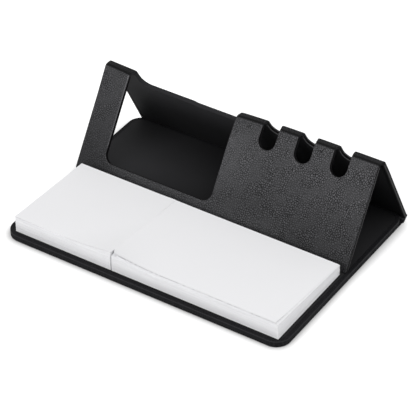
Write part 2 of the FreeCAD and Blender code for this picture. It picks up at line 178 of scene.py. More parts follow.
class MEMO_PG_pads(bpy.types.PropertyGroup):
    """How the sheets of the note pads lie."""
    layers: count("Layers", 64, "Layers of sheets that show in a pad's edge")
    columns: count("Columns", 72, "Steps of the mesh along a pad")
    rows: count("Rows", 44, "Steps of the mesh from a pad's front to its back")
    stray: length("Stray", 0.00004, "How far single layers stick out")
    drift: length("Drift", 0.00008, "How far groups of layers stick out")
    groove: length("Groove", 0.00005, "Depth of the gap between two layers")
    sheet: length("Sheet", 0.00012, "Thickness of a sheet")
    # painted shade at a stack's foot
    side_shade: amount("Side shade", 0.12, "How grey a stack's foot is on its sides, as a share of its front")
    top_sheets: length("Top sheets", 0.0002, "Thickness of the sheets that lift together")
    band: length("Glue band", 0.015, "Width of the glued band at a pad's back")
    bend: length("Bend", 0.014, "Length over which a lifted sheet bends")
    spring: length("Spring", 0.0005, "How far a stack springs up along its back")
    curl: length("Curl", 0.0032, "How far the top sheets curl up at the corners where the pads meet")
    curl_run: length("Curl run", 0.042, "How far that curl goes along the front")
    curl_depth: length("Curl depth", 0.048, "How far that curl goes towards the back")
    follow: amount("Follow", 0.85, "Share of that curl that the large stack's own top has")
    fold_back: length("Fold back", 0.0026, "How far the large pad's curled corner is drawn off the seam")
    seam_lift: length("Seam lift", 0.0009, "How far both pads rise along the seam between them")
    seam_run: length("Seam run", 0.016, "Distance from the seam over which they do so")
    fold_depth: length("Fold depth", 0.0048, "How far from the front it is drawn back")
    corner_lift: length("Corner lift", 0.0003, "How far the large pad's right front corner curls up")
    corner_draw: length("Corner draw", 0.0011, "How far that corner is drawn in from the right side")
    corner_slip: length("Corner slip", 0.0004, "How far that corner slips forward")
    corner_run: length("Corner run", 0.022, "How far that curl goes along the edges")
    side_run: length("Side run", 0.060, "How far it is drawn in along the right side")
    dip: length("Dip", 0.0026, "How far the large stack is pressed down below that corner")
    dip_run: length("Dip run", 0.007, "How far that dip reaches")
    spread: length("Spread", 0.00035, "How far the small stack spreads into the gap between the pads")
    ease: length("Ease", 0.0003, "How far a top sheet stands off its stack along its front")
    ease_run: length("Ease run", 0.030, "From the small pad's left side to where its top sheet lies flat")
    meet: length("Meeting", 0.0007, "How far the small pad's top sheet reaches over the gap between the pads")
    setback: length("Setback", 0.0006, "How far the large pad's top sheet lies behind the stack's front")
    margin: length("Margin", 0.0025, "Width of a stack's border, where sheets stray")
    inset: length("Inset", 0.0012, "How far the large pad's top sheet lies inside the stack's right side")
    parting: amount("Parting", 0.845, "Share of the small stack's height at which it parts a little")
    parting_depth: length("Parting depth", 0.0006, "How deep that parting goes")
    fan: count("Fan", 3, "Groups of sheets that fan out under the small pad's curl")
    fan_gap: amount("Fan gap", 0.16, "Share of a group's height that stays open below it")


class MEMO_PG_finish(bpy.types.PropertyGroup):
    """Colours and grain."""
    leather: colour("Leather", (0.0590, 0.0590, 0.0648), "Colour of the grained leather")
    leather_valley: colour("Leather valleys", (0.003, 0.003, 0.003), "Colour of the grain's valleys")
    base_leather: colour("Base leather", (0.0175, 0.0175, 0.0193), "Colour of the base's smoother leather")
    cut_edge: colour("Cut edge", (0.022, 0.022, 0.024), "Colour of the leather's cut edge")
    lining: colour("Lining", (0.0340, 0.0340, 0.0362), "Colour of the cover's lining")
    base_lining: colour("Base lining", (0.0315, 0.0315, 0.0335), "Colour of the base's lining")
    # painted highlight on that edge at the backs of the slots
    cut_edge_highlight: colour("Rubbed edge", (0.110, 0.110, 0.116), "Colour of that edge at the backs of the slots")
    board: colour("Board", (0.005, 0.005, 0.005), "Colour of the dyed board")
    paper: colour("Paper", (0.84, 0.84, 0.855), "Colour of the note paper")
    card: colour("Card", (0.72, 0.72, 0.71), "Colour of the backing card")
    tape: colour("Tape", (0.80, 0.79, 0.74), "Colour of the mounting tape")
    nickel: colour("Nickel", (0.62, 0.60, 0.57), "Colour of the plated magnets")
    steel: colour("Steel", (0.46, 0.46, 0.47), "Colour of the keeper discs")
    pebble: length("Pebble", 0.0015, "Size of the leather's pebbles")
    pebble_depth: length("Pebble depth", 0.00035, "Depth of the leather's grain")


class MEMO_PG_stage(bpy.types.PropertyGroup):
    """Camera, light and floor."""
    azimuth: angle("Azimuth", 33.353, "Camera's turn about the object")
    elevation: angle("Elevation", 37.882, "Camera's height as an angle")
    roll: angle("Roll", -0.586, "Camera's roll")
    distance: length("Distance", 1.59075, "From the camera to the point it looks at")
    aim: point("Aim", (0.00168, -0.00105, 0.01769), "Point that the camera looks at")
    lens: amount("Lens", 207.4, "Focal length in millimetres, on a sensor 36 mm wide")
    floor_size: length("Floor", 12.0, "Width of the floor")
    floor: colour("Floor", (0.85, 0.85, 0.85), "Colour of the floor")
    floor_glow: amount("Floor glow", 0.43, "White that the camera adds to the floor")
    # painted contact shadow round the base
    contact_run: length("Contact run", 0.0085, "Distance from the base over which that white comes in")
    contact_corner: length("Contact corner", 0.009, "Radius of the base's corners for that distance")
    sky: amount("Sky", 0.58, "Strength of the even light from all round")
    key_power: amount("Key", 11.6, "Power of the soft light from the front left, in watts")
    key_size: length("Key size", 0.9, "Width of that light")
    key_place: point("Key place", (-0.40, -1.53, 1.05), "Where that light hangs")
    top_power: amount("Top", 11.5, "Power of the soft light overhead, in watts")
    top_size: length("Top size", 1.6, "Width of that light")
    top_place: point("Top place", (0.80, -0.25, 1.48), "Where that light hangs")


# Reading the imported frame, and lines


def node_points(name):
    """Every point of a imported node, one row of x, y and z each."""
    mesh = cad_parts[name].data
    points = np.empty(3 * len(mesh.vertices), np.float32)
    mesh.vertices.foreach_get("co", points)
    return points.reshape(-1, 3).astype(float)


def unit(step):
    """A step of length one."""
    return step / np.linalg.norm(step)


def turned(step):
    """A step in the side view turned a quarter, which points into the cover."""
    return np.array([-step[1], step[0]])


def mitre(before, after):
    """Where the inner corner of a fold lies, for a layer of depth one."""
    return (before + after) / (1 + before @ after)


def smooth(share):
    """An even rise from 0 to 1: 3t^2 - 2t^3."""
    share = np.clip(share, 0, 1)
    return share * share * (3 - 2 * share)


def quarter_turn(steps):
    """Even angles from 0 to a right angle."""
    return np.linspace(0, math.pi / 2, steps)


def spaced(first, last, spacing):
    """Even places from first to last, no further apart than the spacing."""
    return np.linspace(first, last, 2 + int((last - first) / spacing))


def ordered(places):
    """Places in order, each of them once."""
    return np.unique(np.round(places, DIGITS))


def eased_line(at, places, points, reach):
    """Points of a line through corners, by their places. Within reach of a corner C, the line is the curve
    (1-t)^2 A + 2t(1-t) C + t^2 B between its points A and B, so the corner is rounded."""
    def straight(where):
        return np.stack([np.interp(where, places, column) for column in points.T], axis=-1)

    line = straight(at)
    for corner in places[1:-1]:
        t = np.clip((at - corner) / reach + 1, 0, 2)[..., None] / 2
        curve = (1 - t) ** 2 * straight(corner - reach)
        curve = curve + 2 * t * (1 - t) * straight(corner) + t ** 2 * straight(corner + reach)
        line = np.where((np.abs(at - corner) < reach)[..., None], curve, line)
    return line


# Making meshes


def grid_faces(grid, start):
    """Quads between the points of a grid that are counted row by row from start."""
    rows, columns = grid.shape[:2]
    number = start + np.arange(rows * columns).reshape(rows, columns)
    corners = [number[:-1, :-1], number[1:, :-1], number[1:, 1:], number[:-1, 1:]]
    return np.stack(corners, axis=-1).reshape(-1, 4)


def join_grids(grids):
    """Several grids as one list of points and one of quads."""
    counts = [grid.shape[0] * grid.shape[1] for grid in grids]
    starts = np.concatenate([[0], np.cumsum(counts)])
    points = np.concatenate([grid.reshape(-1, grid.shape[-1]) for grid in grids])
    faces = np.concatenate([grid_faces(grid, start) for grid, start in zip(grids, starts)])
    return points, faces.tolist()


def make_piece(name, points, faces, finishes, flat=None):
    """A mesh object in the frame's place, with equal points merged and hard edges kept sharp.
    The flat places, where given, are kept with the points for the finishes to read."""
    mesh = bpy.data.meshes.new(name)
    mesh.from_pydata(points.tolist(), [], faces)
    if flat is not None:
        attribute = mesh.attributes.new(FLAT_PLACE, "FLOAT_VECTOR", "POINT")
        attribute.data.foreach_set("vector", flat.astype(np.float32).ravel())
    net = bmesh.new()
    net.from_mesh(mesh)
    bmesh.ops.remove_doubles(net, verts=net.verts, dist=MERGE_DISTANCE)
    net.to_mesh(mesh)
    net.free()
    mesh.shade_smooth()
    mesh.set_sharp_from_angle(angle=SHARP_ANGLE)
    piece = bpy.data.objects.new(name, mesh)
    bpy.context.scene.collection.objects.link(piece)
    for finish in finishes:
        mesh.materials.append(finish)
    return piece


def thicken(piece, thickness, rim_finish):
    """Gives a surface its thickness, inwards; the rim's finish is counted on from the surface's own."""
    solid = piece.modifiers.new("thickness", "SOLIDIFY")
    solid.thickness = thickness
    solid.offset = -1
    solid.use_even_offset = True
    solid.material_offset_rim = rim_finish


def ease_edges(piece, width):
    """Rounds the hard edges of a piece."""
    bevel = piece.modifiers.new("edges", "BEVEL")
    bevel.width = width
    bevel.segments = BEVEL_SEGMENTS
    bevel.limit_method = "ANGLE"
    bevel.angle_limit = BEVEL_ANGLE


def settle(piece):
    """Makes a piece's thickness and rounding part of its mesh, with its hard edges kept sharp."""
    graph = bpy.context.evaluated_depsgraph_get()
    mesh = bpy.data.meshes.new_from_object(piece.evaluated_get(graph))
    mesh.set_sharp_from_angle(angle=SHARP_ANGLE)
    piece.modifiers.clear()
    piece.data = mesh


def slab(top, bottom):
    """Grids of a closed sheet between two grids: its faces and the strips round its rim."""
    ends = [(top[0], bottom[0]), (bottom[-1], top[-1])]
    sides = [(bottom[:, 0], top[:, 0]), (top[:, -1], bottom[:, -1])]
    strips = [np.stack([first, second], axis=1) for first, second in ends + sides]
    return [top, bottom[:, ::-1]] + strips


def rounded_rectangle(low, high, corners):
    """A closed path round a rectangle with an arc of its own radius at each corner, from the right rear one
    on: its points and its outward directions."""
    arc = quarter_turn(CORNER_STEPS)
    turns = np.concatenate([arc + quarter * math.pi / 2 for quarter in range(4)])
    outward = np.stack([np.cos(turns), np.sin(turns)], axis=-1)
    sides = np.array([[1, 1], [-1, 1], [-1, -1], [1, -1]])
    radii = np.array(corners)[:, None]
    middles = np.where(sides > 0, high[:2], low[:2]) - sides * radii
    points = np.repeat(middles, len(arc), axis=0) + np.repeat(radii, len(arc), axis=0) * outward
    return np.concatenate([points, points[:1]]), np.concatenate([outward, outward[:1]])


def carried_profile(paths, outward, profile):
    """A profile carried round a path of its own for each of its points: path - inset * outward, at the
    point's height."""
    insets, heights = np.array(profile).T
    flat = paths - insets[None, :, None] * outward[:, None, :]
    rise = np.broadcast_to(heights[None, :, None], flat.shape[:2] + (1,))
    return np.concatenate([flat, rise], axis=-1)


def profile_solid(name, paths, outward, profile, finishes):
    """A closed piece: a profile carried round its paths, with both of its ends filled."""
    grid = carried_profile(paths, outward, profile)
    points, faces = join_grids([grid])
    stride = grid.shape[1]
    loop = np.arange(len(grid) - 1) * stride
    faces.append(loop[::-1].tolist())
    faces.append((loop + stride - 1).tolist())
    return make_piece(name, points, faces, finishes)


# Finishes


def shade(tone, share):
    """A share of a colour."""
    return tuple(share * part for part in tone)


class Value:
    """A socket that works like a number; each step adds a Math node."""

    def __init__(self, nodes, socket):
        self.nodes = nodes
        self.socket = socket

    def __add__(self, other):
        return self.nodes.maths("ADD", self, other)

    def __radd__(self, other):
        return self.nodes.maths("ADD", other, self)

    def __sub__(self, other):
        return self.nodes.maths("SUBTRACT", self, other)

    def __rsub__(self, other):
        return self.nodes.maths("SUBTRACT", other, self)

    def __mul__(self, other):
        return self.nodes.maths("MULTIPLY", self, other)

    def __rmul__(self, other):
        return self.nodes.maths("MULTIPLY", other, self)

    def __abs__(self):
        return self.nodes.maths("ABSOLUTE", self, 0)


class Nodes:
    """A node tree under construction."""

    def __init__(self, tree):
        self.tree = tree

    def node(self, kind, settings, sockets, output):
        """Adds a node: its settings first, then a value or a link on each socket. Gives the named output."""
        made = self.tree.nodes.new(kind)
        for name, value in settings.items():
            setattr(made, name, value)
        for name, value in sockets.items():
            self.put(made.inputs[name], value)
        return Value(self, made.outputs[output])

    def put(self, socket, value):
        """Links a value to a socket, or sets a plain number or colour on it."""
        if isinstance(value, Value):
            self.tree.links.new(value.socket, socket)
        elif hasattr(socket.default_value, "__len__") and len(socket.default_value) == 4:
            socket.default_value = (*value, 1)
        else:
            socket.default_value = value

    def maths(self, operation, first, second):
        """A step of arithmetic on two numbers."""
        return self.node("ShaderNodeMath", {"operation": operation}, {0: first, 1: second}, "Value")

    def mix(self, share, first, second):
        """A colour between two."""
        return self.node("ShaderNodeMix", {"data_type": "RGBA"}, {0: share, 6: first, 7: second}, 2)

    def seen(self):
        """One for rays that show the background: straight from the camera, or by way of gloss or glass."""
        shown = 0
        for ray in ("Is Camera Ray", "Is Glossy Ray", "Is Transmission Ray"):
            shown = self.maths("MAXIMUM", shown, self.node("ShaderNodeLightPath", {}, {}, ray))
        return shown


class Finish(Nodes):
    """A material under construction."""

    def __init__(self, name):
        self.material = bpy.data.materials.new(name)
        self.material.use_nodes = True
        super().__init__(self.material.node_tree)
        self.shader = self.tree.nodes["Principled BSDF"]

    def set(self, **sockets):
        """Sets sockets of the surface shader; their names have _ for a space."""
        for name, value in sockets.items():
            self.put(self.shader.inputs[name.replace("_", " ")], value)

    def place(self):
        """Where a point of the piece is, in metres."""
        return self.node("ShaderNodeTexCoord", {}, {}, "Object")

    def flat_place(self):
        """Where a point of the piece is on its flat pattern, in metres."""
        return self.node("ShaderNodeAttribute", {"attribute_name": FLAT_PLACE}, {}, "Vector")

    def part(self, place, axis):
        """One coordinate of a place."""
        return self.node("ShaderNodeSeparateXYZ", {}, {"Vector": place}, axis)

    def stretched(self, place, scale):
        """A place with each of its axes scaled."""
        return self.node("ShaderNodeMapping", {}, {"Vector": place, "Scale": scale}, "Vector")

    def noise(self, place, size, detail=2.0, output="Fac"):
        """Cloudy values about one half, with clouds of a size."""
        sockets = {"Vector": place, "Scale": 1 / size, "Detail": detail}
        return self.node("ShaderNodeTexNoise", {}, sockets, output)

    def ramp(self, value, start, end):
        """A smooth rise from 0 to 1 as the value goes from start to end, which may be the lower one."""
        sockets = {"Value": value, "From Min": start, "From Max": end}
        return self.node("ShaderNodeMapRange", {"interpolation_type": "SMOOTHSTEP"}, sockets, "Result")

    def between(self, share, first, last):
        """A number that goes from first to last as the share goes from 0 to 1."""
        return share * (last - first) + first

    def bump(self, height, depth, strength=1.0):
        """Surface relief from a height between 0 and 1."""
        sockets = {"Height": height, "Distance": depth, "Strength": strength}
        return self.node("ShaderNodeBump", {}, sockets, "Normal")


class Leather(Finish):
    """Pebbled leather: rounded cells with dark valleys between them, fine pores and soft mottling. The grain
    is deeper in patches, and towards the right. Below the face, round an edge and on the turned-in lips, it
    is flat, dull and darker with painted shade, and a painted highlight line runs between two depths. Lengths
    are in metres."""
    strength = 0.7
    gloss = 0.06
    roughness = (0.60, 0.68)        # between the mottling's clouds and in them
    polish = 0.68
    polish_roughness = 0.36
    cell_edge = 0.28                # share of a cell over which it rises from its edge
    pore_size = 0.6                 # as a share of a pebble
    pore_light = (0.2, 1.8)
    pore_relief = 0.2               # share of the relief that the pores make
    mottle_size = 0.014
    mottle_light = 0.15
    patch_size = 0.010
    patch_range = (0.30, 0.66)
    patch_depth = (0.29, 0.77)      # depth of the grain between the patches and in them
    side_range = (-0.08, 0.06)      # along the piece, from left to right
    side_depth = (0.75, 1.05)       # how the depth of the grain changes there
    mean_grain = 0.63
    mean_shine = 0.44
    # flat, dull grain with painted shade below the face
    dull_and_shade_range = (0.0001, 0.0006)   # below the face
    dulling_and_shade = 0.92
    # a painted highlight line between two depths below the face
    line_start = 0.0                # below the face
    line_end = 0.0
    line_soft = 0.0003
    line_light = 0.0

    def __init__(self, name, tone, valley, face_level=None):
        super().__init__(name)
        look = bpy.context.scene.memo_finish
        self.spot = self.flat_place() if face_level is None else self.place()
        self.along, self.down, height = (self.part(self.spot, axis) for axis in "XYZ")
        self.deep = height if face_level is None else face_level - height
        # duller, flatter grain and painted shade below the face
        self.dull_and_shade = self.ramp(self.deep, *self.dull_and_shade_range) * self.dulling_and_shade
        self.pebbles(look.pebble)
        self.paint_light_and_shade()
        relief = self.grain * (1 - self.dull_and_shade) * (1 - self.pore_relief) + self.pores * self.pore_relief
        self.set(Base_Color=self.mix(self.shine, valley, tone), Specular_IOR_Level=self.gloss,
                 Roughness=self.between(self.mottle, *self.roughness),
                 Coat_Weight=self.shine * self.polish, Coat_Roughness=self.polish_roughness,
                 Normal=self.bump(relief, look.pebble_depth, self.strength))

    def pebbles(self, size):
        """The grain, from 0 in the valleys to about 1 on the cells' tops, and the shine that follows it:
        (grain - mean) * depth + mottling + mean shine."""
        warp = self.noise(self.spot, size, output="Color")
        bent = self.node("ShaderNodeVectorMath", {"operation": "MULTIPLY_ADD"},
                         {0: warp, 1: (size,) * 3, 2: self.spot}, "Vector")
        kind = {"feature": "DISTANCE_TO_EDGE", "voronoi_dimensions": "2D"}
        cells = self.node("ShaderNodeTexVoronoi", kind, {"Vector": bent, "Scale": 1 / size}, "Distance")
        self.pores = self.noise(self.spot, size * self.pore_size, 3.0)
        self.mottle = self.noise(self.spot, self.mottle_size)
        patches = self.ramp(self.noise(self.spot, self.patch_size, 1.0), *self.patch_range)
        self.grain = self.ramp(cells, 0, self.cell_edge) * self.between(self.pores, *self.pore_light)
        aside = self.ramp(self.along, *self.side_range)
        depth = self.between(patches, *self.patch_depth) * self.between(aside, *self.side_depth)
        self.shine = (self.grain - self.mean_grain) * depth + self.mean_shine
        self.shine = self.shine + self.mottle * self.mottle_light

    def edge_highlight(self):
        """One on the painted highlight line round an edge."""
        start = self.ramp(self.deep, self.line_start, self.line_start + self.line_soft)
        return start * self.ramp(self.deep, self.line_end, self.line_end - self.line_soft)

    def paint_light_and_shade(self):
        """Paints shade round the edges, where the grain is also duller, and a highlight line:
        shine * (1 - dull) + line.
        """
        self.shine = self.shine * (1 - self.dull_and_shade) + self.edge_highlight() * self.line_light


class BaseLeather(Leather):
    """The base's leather, which is smoother, with painted shade on its sides and a painted highlight line on
    its upper edge.
    """
    strength = 0.3
    gloss = 0.02
    polish = 0.12
    # painted shade on the sides, where the grain is also duller
    dulling_and_shade = 0.3
    # a painted highlight line on the upper edge
    line_start = 0.0001
    line_end = 0.0009
    line_light = 1.6


class CoverLeather(Leather):
    """The cover's leather. On the ridge its grain is pressed flat and it is darker with painted shade, with a
    painted shadow line before the front crease. The front panel has painted shade towards its foot, but
    painted light again at the foot of its middle part, a painted sheen right of the window and a painted
    highlight along the post's edge, and it is a little darker on the post. Lengths are in metres."""
    # a painted highlight line round the edges, between these depths
    line_start = 0.0018
    line_end = 0.0028
    line_light = 0.60
    rear_line = 0.45                    # share of that line on the rear panel
    press_range = (-0.0004, 0.0014)     # past a crease, from the ridge to the panel
    # the ridge's shine keeps this share too: painted shade on the ridge
    pressed = 0.3                       # share of the grain that is left on the ridge
    # a painted shadow line before the front crease
    crease_range = (-0.0018, -0.0010)   # past the front crease
    crease_shadow_shine = 0.4
    # painted shade down the front panel, a little less in its middle part
    panel_shade_range = (0.012, 0.075)         # past the front crease
    panel_shade = 0.38
    middle_panel_shade = 0.33
    # painted light at the foot of the middle part, where shade falls by the pads
    foot_range = (0.054, 0.072)         # past the front crease
    foot_light = 0.34
    middle_left = (-0.09, -0.07)        # along the cover, where its middle part begins
    middle_right = (0.08, 0.02)         # and where it ends
    # a painted sheen right of the window
    sheen_side = (0.034, 0.0)           # past the window's right side
    sheen_top = (0.002, 0.026)          # past the front crease
    sheen_foot = (0.008, -0.026)        # past the window's foot
    sheen_light = 0.15
    post_side = (0.0, -0.003)           # past the window's left side
    post_shine = 0.93
    # a painted highlight line along the post's edge
    edge_outer = (-0.0012, -0.0004)     # past the window's left side
    edge_inner = (0.0002, 0.0)
    edge_top = (0.0, 0.0014)            # past the front crease
    edge_foot = (-0.006, -0.014)        # past the window's foot
    edge_light = 0.35

    def __init__(self, name, tone, valley, cover):
        self.ridge = cover.half_ridge
        self.window = cover.holes[0]
        super().__init__(name, tone, valley)

    def past(self, value, mark, run):
        """A rise over a run that starts and ends at distances from a mark."""
        return self.ramp(value, mark + run[0], mark + run[1])

    def paint_light_and_shade(self):
        """Paints shade and light on the ridge and the panels, then round the edges, then beside the window
        and on the post.
        """
        self.press()
        super().paint_light_and_shade()
        self.paint_sheen()

    def press(self):
        """Flat grain with painted shade on the ridge, a painted shadow line before the front crease, and
        painted shade down the front panel, with painted light at the foot of its middle part.
        """
        panel = self.past(abs(self.down), self.ridge, self.press_range)
        middle = self.ramp(self.along, *self.middle_left) * self.ramp(self.along, *self.middle_right)
        panel_shade = self.past(self.down, self.ridge, self.panel_shade_range)
        panel_shade = panel_shade * self.between(middle, self.panel_shade, self.middle_panel_shade)
        foot = self.past(self.down, self.ridge, self.foot_range) * middle * self.foot_light
        crease = self.past(self.down, self.ridge, self.crease_range) * (1 - panel)
        flat = self.between(panel, self.pressed, 1)
        self.grain = self.grain * flat
        self.shine = self.shine * flat * (1 - panel_shade + foot) * self.between(crease, 1, self.crease_shadow_shine)

    def edge_highlight(self):
        """The painted highlight line, which is weaker on the rear panel."""
        front = self.ramp(self.down, -self.ridge, self.ridge)
        return super().edge_highlight() * self.between(front, self.rear_line, 1)

    def paint_sheen(self):
        """Painted sheen right of the window, the post a little darker, and a painted highlight line along the
        post's edge.
        """
        left, right, foot = self.window.left, self.window.right, self.window.front
        face = 1 - self.dull_and_shade
        sheen = self.past(self.along, right, self.sheen_side) * self.ramp(self.along, left, right)
        sheen = sheen * self.past(self.down, self.ridge, self.sheen_top)
        sheen = sheen * self.past(self.down, foot, self.sheen_foot)
        post = self.past(self.along, left, self.post_side)
        edge = self.past(self.along, left, self.edge_outer) * self.past(self.along, left, self.edge_inner)
        edge = edge * self.past(self.down, self.ridge, self.edge_top)
        edge = edge * self.past(self.down, foot, self.edge_foot)
        self.shine = (self.shine + sheen * face * self.sheen_light) * self.between(post, 1, self.post_shine)
        self.shine = self.shine + edge * face * self.edge_light


def cut_leather():
    """The raw, dark edge of cut leather, with short fibres across it. On the rear panel it is as pale as the
    lining at the window, with a painted highlight at the backs of the slots, and a weaker one at the cover's
    right end."""
    slots_range = (0.0, 0.010)      # along the cover, from the window to the slots
    end_range = (0.094, 0.098)      # along the cover, at its right end
    end_share = 0.4
    rear_range = (-0.003, -0.006)   # from the ridge to the rear panel
    look = bpy.context.scene.memo_finish
    finish = Finish("cut_leather")
    place = finish.flat_place()
    along = finish.part(place, "X")
    fibres = finish.noise(place, 0.0003, 3.0)
    slots = finish.ramp(along, *slots_range)
    slots = slots * finish.between(finish.ramp(along, *end_range), 1, end_share)
    # painted highlight on the rear cut edges from the slots on, weaker at the right end
    behind = finish.mix(slots, look.lining, look.cut_edge_highlight)
    rear = finish.ramp(finish.part(place, "Y"), *rear_range)
    tone = finish.mix(rear, look.cut_edge, behind)
    finish.set(Base_Color=finish.mix(finish.between(fibres, 0.4, 1), BLACK, tone),
               Roughness=finish.between(fibres, 0.75, 0.90), Specular_IOR_Level=0.06,
               Normal=finish.bump(fibres, 0.00005))
    return finish.material


def smooth_lining(name, tone, painted_shading, folded=False):
    """Thin matte lining with a very fine grain, and painted shading. Each shade has an axis, a start, an end
    and the share of the tone that the lining has past that end: painted shade below one, painted light above
    one. A folded lining is shaded by its flat pattern."""
    finish = Finish(name)
    place = finish.flat_place() if folded else finish.place()
    grain = finish.noise(place, 0.0005)
    cloud = finish.noise(place, 0.025)
    light = finish.between(cloud, 1, 0.85)
    for axis, start, end, share in painted_shading:
        light = light * finish.between(finish.ramp(finish.part(place, axis), start, end), 1, share)
    finish.set(Base_Color=finish.mix(light, BLACK, tone), Roughness=0.52 + cloud * 0.10 + grain * 0.05,
               Specular_IOR_Level=0.05, Normal=finish.bump(grain, 0.00003, 0.5))
    return finish.material


def dyed_board():
    """Black-dyed grey board, with pressed layers in its edge. On the rear panel, its edge at the window is as
    pale as the lining."""
    rear_range = (0.042, 0.044)     # from the front panel's board to the rear one's
    window_range = (0.0, -0.006)    # along the cover, from the slots to the window
    look = bpy.context.scene.memo_finish
    finish = Finish("dyed_board")
    place = finish.place()
    layers = finish.noise(place, 0.0004, 3.0)
    rear = finish.ramp(finish.part(place, "Y"), *rear_range)
    behind = rear * finish.ramp(finish.part(place, "X"), *window_range)
    tone = finish.mix(behind, look.board, look.lining)
    finish.set(Base_Color=finish.mix(finish.between(layers, 0.4, 1), BLACK, tone), Roughness=0.85,
               Specular_IOR_Level=0.06, Normal=finish.bump(layers, 0.00006))
    return finish.material


def paper_face():
    """White note paper: faint clouding and a fine tooth."""
    finish = Finish("paper_face")
    tone = bpy.context.scene.memo_finish.paper
    cloud = finish.noise(finish.place(), 0.02, 3.0)
    tooth = finish.noise(finish.place(), 0.0004)
    finish.set(Base_Color=finish.mix(cloud, shade(tone, 0.985), tone), Specular_IOR_Level=0.25,
               Roughness=finish.between(tooth, 0.80, 0.90), Normal=finish.bump(tooth, 0.00002, 0.4))
    return finish.material


def paper_edges(height):
    """Edges of stacked note paper: tones that run along the sheets, with painted shade towards the stack's
    foot, less on its sides.
    """
    broad_stretch = (0.02, 1.0, 0.0)
    fine_stretch = (0.12, 1.0, 0.0)
    broad_share = 0.7
    streak_tone = 0.90
    # painted shade at the stack's foot
    foot_shade_tone = 0.77
    foot_range = (0.95 * height, -0.15 * height)
    finish = Finish("paper_edges")
    tone = bpy.context.scene.memo_finish.paper
    place = finish.flat_place()
    broad = finish.noise(finish.stretched(place, broad_stretch), 0.0011)
    fine = finish.noise(finish.stretched(place, fine_stretch), 0.0005)
    foot = finish.ramp(finish.part(place, "Y"), *foot_range) * finish.part(place, "Z")
    streaks = finish.between(broad_share, finish.ramp(fine, 0.30, 0.70), finish.ramp(broad, 0.28, 0.66))
    sheets = finish.mix(streaks, shade(tone, streak_tone), tone)
    finish.set(Base_Color=finish.mix(foot, sheets, shade(tone, foot_shade_tone)), Specular_IOR_Level=0.25,
               Roughness=finish.between(fine, 0.80, 0.90), Normal=finish.bump(fine, 0.00003, 0.4))
    return finish.material


def plain_card(name, tone, size):
    """Card or tape: matte, with small flecks."""
    finish = Finish(name)
    flecks = finish.noise(finish.place(), size, 3.0)
    finish.set(Base_Color=finish.mix(flecks, shade(tone, 0.86), tone), Specular_IOR_Level=0.25,
               Roughness=finish.between(flecks, 0.75, 0.87), Normal=finish.bump(flecks, 0.00003))
    return finish.material


def metal(name, tone, roughness):
    """Plated or plain metal with fine turning marks."""
    turning = (1.0, 0.1, 1.0)
    rougher = roughness + 0.12
    finish = Finish(name)
    marks = finish.noise(finish.stretched(finish.place(), turning), 0.0004, 3.0)
    finish.set(Base_Color=finish.mix(marks, shade(tone, 0.8), tone), Metallic=1.0,
               Roughness=finish.between(marks, roughness, rougher), Normal=finish.bump(marks, 0.00002))
    return finish.material


# The cover's flat pattern and its fold


class Hole:
    """A cut-out of the flat cover, with rounded corners."""
    arc_steps = 9

    def __init__(self, left, width, rear, front, corner):
        self.left, self.right = left, left + width
        self.rear, self.front = rear, front
        self.corner = corner

    def columns(self, spacing):
        """Places across the hole: cosine steps in the corner arcs, even steps between them."""
        arc = self.corner * (1 - np.cos(quarter_turn(self.arc_steps)))
        inner = spaced(self.left + self.corner, self.right - self.corner, spacing)
        return ordered(np.concatenate([self.left + arc, inner, self.right - arc]))

    def bulge(self, x):
        """How far past its corners' start the hole's end reaches: the height of the corner's circle."""
        half = (self.right - self.left) / 2
        past = np.abs(x - self.left - half) - (half - self.corner)
        return np.sqrt(np.maximum(self.corner ** 2 - np.maximum(past, 0) ** 2, 0))


